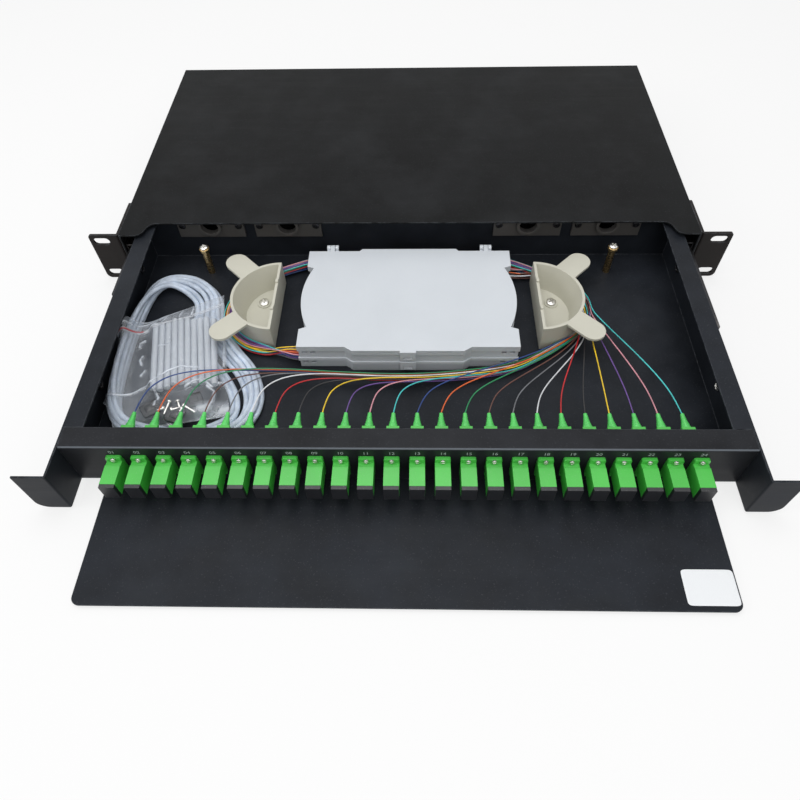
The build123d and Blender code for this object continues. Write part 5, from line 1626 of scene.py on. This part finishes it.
@dataclass
class Fasteners:
    """Every screw whose head is seen, set out as the CAD's are. Millimetres."""

    flange: tuple = (-184.2, (-7.8, 7.6))
    glands: tuple = (-153.5, -93.0, 93.0, 153.5)
    gland_half: float = 22.0
    gland_front: Pair = (20.0, 13.7)
    posts: tuple = ((-157.0, 157.0), 3.0, 6.2)
    spools: tuple = ((-109.0, 109.0), -34.0, -16.0)
    walls: tuple = ((-205.6, 205.6), (-120.8, -10.2), -3.3)
    ears: tuple = ((-220.0, 220.0), (12.0, 31.0), (-12.8, 13.2))
    covers: tuple = ((-218.0, 218.0), (68.0, 138.0, 208.0), 17.6)
    spares: tuple = (
        (-5.0, -36.5), (1.0, -37.5), (-9.0, -40.5), (5.5, -41.5), (-2.5, -42.5), (3.0, -44.0)
    )
    spare_rise: float = 2.6
    spare_turns: tuple = (80.0, 115.0, 20.0, 150.0, 200.0, 60.0)
    spare_tilt: float = 0.1

    @staticmethod
    def lay(xs: object, ys: object, zs: object) -> Points:
        """Every combination of three sets of coordinates, as an array of n by 3."""
        return np.stack(np.meshgrid(xs, ys, zs, indexing="ij"), -1).reshape(-1, 3).astype(float)

    @staticmethod
    def outward(places: Points, sense: float) -> Points:
        """Directions along X, away from the middle (sense 1) or towards it (sense -1)."""
        return np.sign(places) * [sense, 0.0, 0.0]

    def spare_screws(self) -> tuple[Points, Points]:
        """The loose screws in the bag. Returns: their places and their axes."""
        bag = AccessoryBag()
        heights = np.full((len(self.spares), 1), bag.under + self.spare_rise)
        lying = bag.place(np.concatenate([np.array(self.spares), heights], 1)) / MM
        turns = np.radians(self.spare_turns)
        tilt = np.full(len(turns), self.spare_tilt)
        return lying, np.stack([np.cos(turns), np.sin(turns), tilt], -1)

    def sets(self) -> tuple[ScrewSet, ...]:
        """Each set of screws, its heads looking away from what they hold."""
        bright, black = Finishes.BRIGHT_SCREW, Finishes.BLACK_SCREW
        ahead, up = (0, -1, 0), (0, 0, 1)
        adapters = self.lay(PORTS.all(), *self.flange)
        gland_x = [g + s for g in self.glands for s in (-self.gland_half, self.gland_half)]
        glands = self.lay(gland_x, *self.gland_front)
        posts, spools = self.lay(*self.posts), self.lay(*self.spools)
        walls, ears, covers = self.lay(*self.walls), self.lay(*self.ears), self.lay(*self.covers)
        # The slide screws are all the same bright screws: only the right wall's front one keeps its
        # finish, the others get the black finish as painted shade.
        catches_light = (walls[:, 0] > 0) & (walls[:, 1] < walls[:, 1].mean())
        screw = PanScrew(3.4, 1.6, 1.9, 2.2)
        inward, side = self.outward(walls, -1), Body.HOUSING
        rows = (
            ("flange_screws", "adapter_screws", PanScrew(1.7, 1.3, 0.9, 6.0), adapters, ahead,
             bright, "bright_screw"),
            ("gland_heads", "gland_screws", PanScrew(2.6, 1.4, 1.4, 3.2), glands, ahead,
             black, "black_screw"),
            ("post_heads", "post_screws", PanScrew(3.2, 2.2, 1.5, 8.0), posts, up,
             bright, "bright_screw"),
            ("spool_heads", "spool_screws", PanScrew(3.6, 2.0, 1.8, 2.8), spools, up,
             bright, "bright_screw"),
            # Painted shade: these slide screws are darkened with the black finish.
            ("dull_slide_heads", "slide_screws", screw, walls[~catches_light], inward[~catches_light],
             black, "bright_screw"),
            ("slide_heads", "slide_screws", screw, walls[catches_light], inward[catches_light],
             bright, "bright_screw"),
            ("ear_heads", "ear_screws", PanScrew(3.6, 1.8, 2.0, 3.2), ears, self.outward(ears, 1),
             black, "black_screw", side),
            ("cover_heads", "cover_screws", PanScrew(2.9, 1.5, 1.5, 5.0), covers,
             self.outward(covers, 1), black, "black_screw", side),
            ("bagged_screws", "spare_screws", PanScrew(1.9, 1.8, 0.95, 9.0), *self.spare_screws(),
             bright, "black_screw"),
        )
        return tuple(ScrewSet(*row) for row in rows)

    def build(self) -> None:
        """Makes every set of screws."""
        for screws in self.sets():
            screws.build()


@dataclass
class Markings:
    """The plain port numbers on the panel and the bare white sticker on the shelf. Millimetres."""

    face: float = -182.03
    base: float = 11.4
    size: float = 3.9
    stroke: float = 0.04
    thickness: float = 0.01
    curve_steps: int = 4
    sticker: tuple[float, float, float, float] = (157.5, 186.8, -259.0, -238.5)
    shelf: float = -18.8
    squareness: float = 0.16
    outline_points: int = 64
    rings: tuple = (
        (0.0, 0.02), (0.5, 0.02), (1.0, 0.02), (1.0, 0.11), (0.992, 0.15), (0.9, 0.16),
        (0.5, 0.16), (0.0, 0.16),
    )

    def numbers(self) -> None:
        """Sets the numbers 01 to 24, each made a mesh and stood on the panel's face."""
        mesh = bmesh.new()
        upright = Matrix.Rotation(math.pi / 2, 4, "X")
        for port in range(PORTS.count):
            text = bpy.data.curves.new("number", "FONT")
            text.body, text.size, text.align_x = f"{port + 1:02d}", self.size * MM, "CENTER"
            text.offset, text.extrude = self.stroke * MM, self.thickness * MM
            text.resolution_u = self.curve_steps
            carrier = bpy.data.objects.new("number", text)
            flat = bpy.data.meshes.new_from_object(carrier)
            place = Vector((PORTS.x(port), self.face, self.base)) * MM
            flat.transform(Matrix.Translation(place) @ upright)
            mesh.from_mesh(flat)
            bpy.data.objects.remove(carrier)
            bpy.data.curves.remove(text)
            bpy.data.meshes.remove(flat)
        data = bpy.data.meshes.new("port_numbers")
        mesh.to_mesh(data)
        mesh.free()
        made = in_scene("port_numbers", data)
        Finishes.INK.put_on(made)
        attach(made, Body.DRAWER.value)

    def label(self) -> None:
        """Makes the sticker: a thin plate with rounded corners, in rings from below to its top."""
        x0, x1, y0, y1 = self.sticker
        half = np.array([(x1 - x0) / 2, (y1 - y0) / 2])
        middle = np.array([(x0 + x1) / 2, (y0 + y1) / 2, self.shelf])
        scales, heights = np.array(self.rings).T
        outline = ring(self.outline_points, self.squareness) * half
        shape = stack(outline, scales, heights)
        shape.points = (shape.points + middle) * MM
        piece = shape.piece("white_sticker", Body.DRAWER, Finishes.PAPER)

    def build(self) -> None:
        """Makes the numbers and the sticker."""
        self.numbers()
        self.label()


CAD_FINISHES: dict[Finishes, tuple[str, ...]] = {
    Finishes.COAT: ("drawer_tray",),
    Finishes.PANEL_COAT: ("adapter_panel",),
    Finishes.SHADED_HOUSE_COAT: ("housing_tray", "housing_cover"),
    Finishes.EAR_COAT: ("rack_ear_left", "rack_ear_right"),
    Finishes.SLIDE_STEEL: (
        "slide_outer_left", "slide_outer_right", "slide_middle_left", "slide_middle_right",
        "slide_inner_left", "slide_inner_right",
    ),
    Finishes.BLACK_SCREW: (
        "cover_screws", "ear_screws", "slide_rivets", "gland_screws", "spare_screws"
    ),
    Finishes.BRIGHT_SCREW: ("adapter_screws", "spool_screws", "post_screws", "slide_screws"),
    Finishes.BRASS: ("cable_posts",),
    Finishes.GREEN: ("sc_adapters", "sc_connectors"),
    Finishes.GREEN_SOFT: ("connector_boots",),
    Finishes.CAP: ("dust_caps",),
    Finishes.GLAND: ("gland_plates",),
    Finishes.SPOOL: ("spool_left", "spool_right"),
    Finishes.TRAY: ("splice_tray_lower", "splice_tray_upper", "tray_cover"),
    Finishes.TUBE: ("tubing_coil",),
    Finishes.SLEEVE: ("splice_sleeves",),
    Finishes.FILM: ("accessory_bag",),
}


def main() -> None:
    """Builds the scene in order: camera, studio, finishes of the CAD nodes, then the new pieces."""
    logging.basicConfig(level=logging.INFO, format="%(message)s")
    Camera().build()
    Studio().build()
    for finish, nodes in CAD_FINISHES.items():
        for node in nodes:
            finish.put_on(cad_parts[node])
    Pigtails().build()
    AccessoryBag().build(TubingCoil().build())
    for assembly in (Boots(), Fasteners(), Markings()):
        assembly.build()
    bpy.context.view_layer.update()


if __name__ == "__main__":
    main()
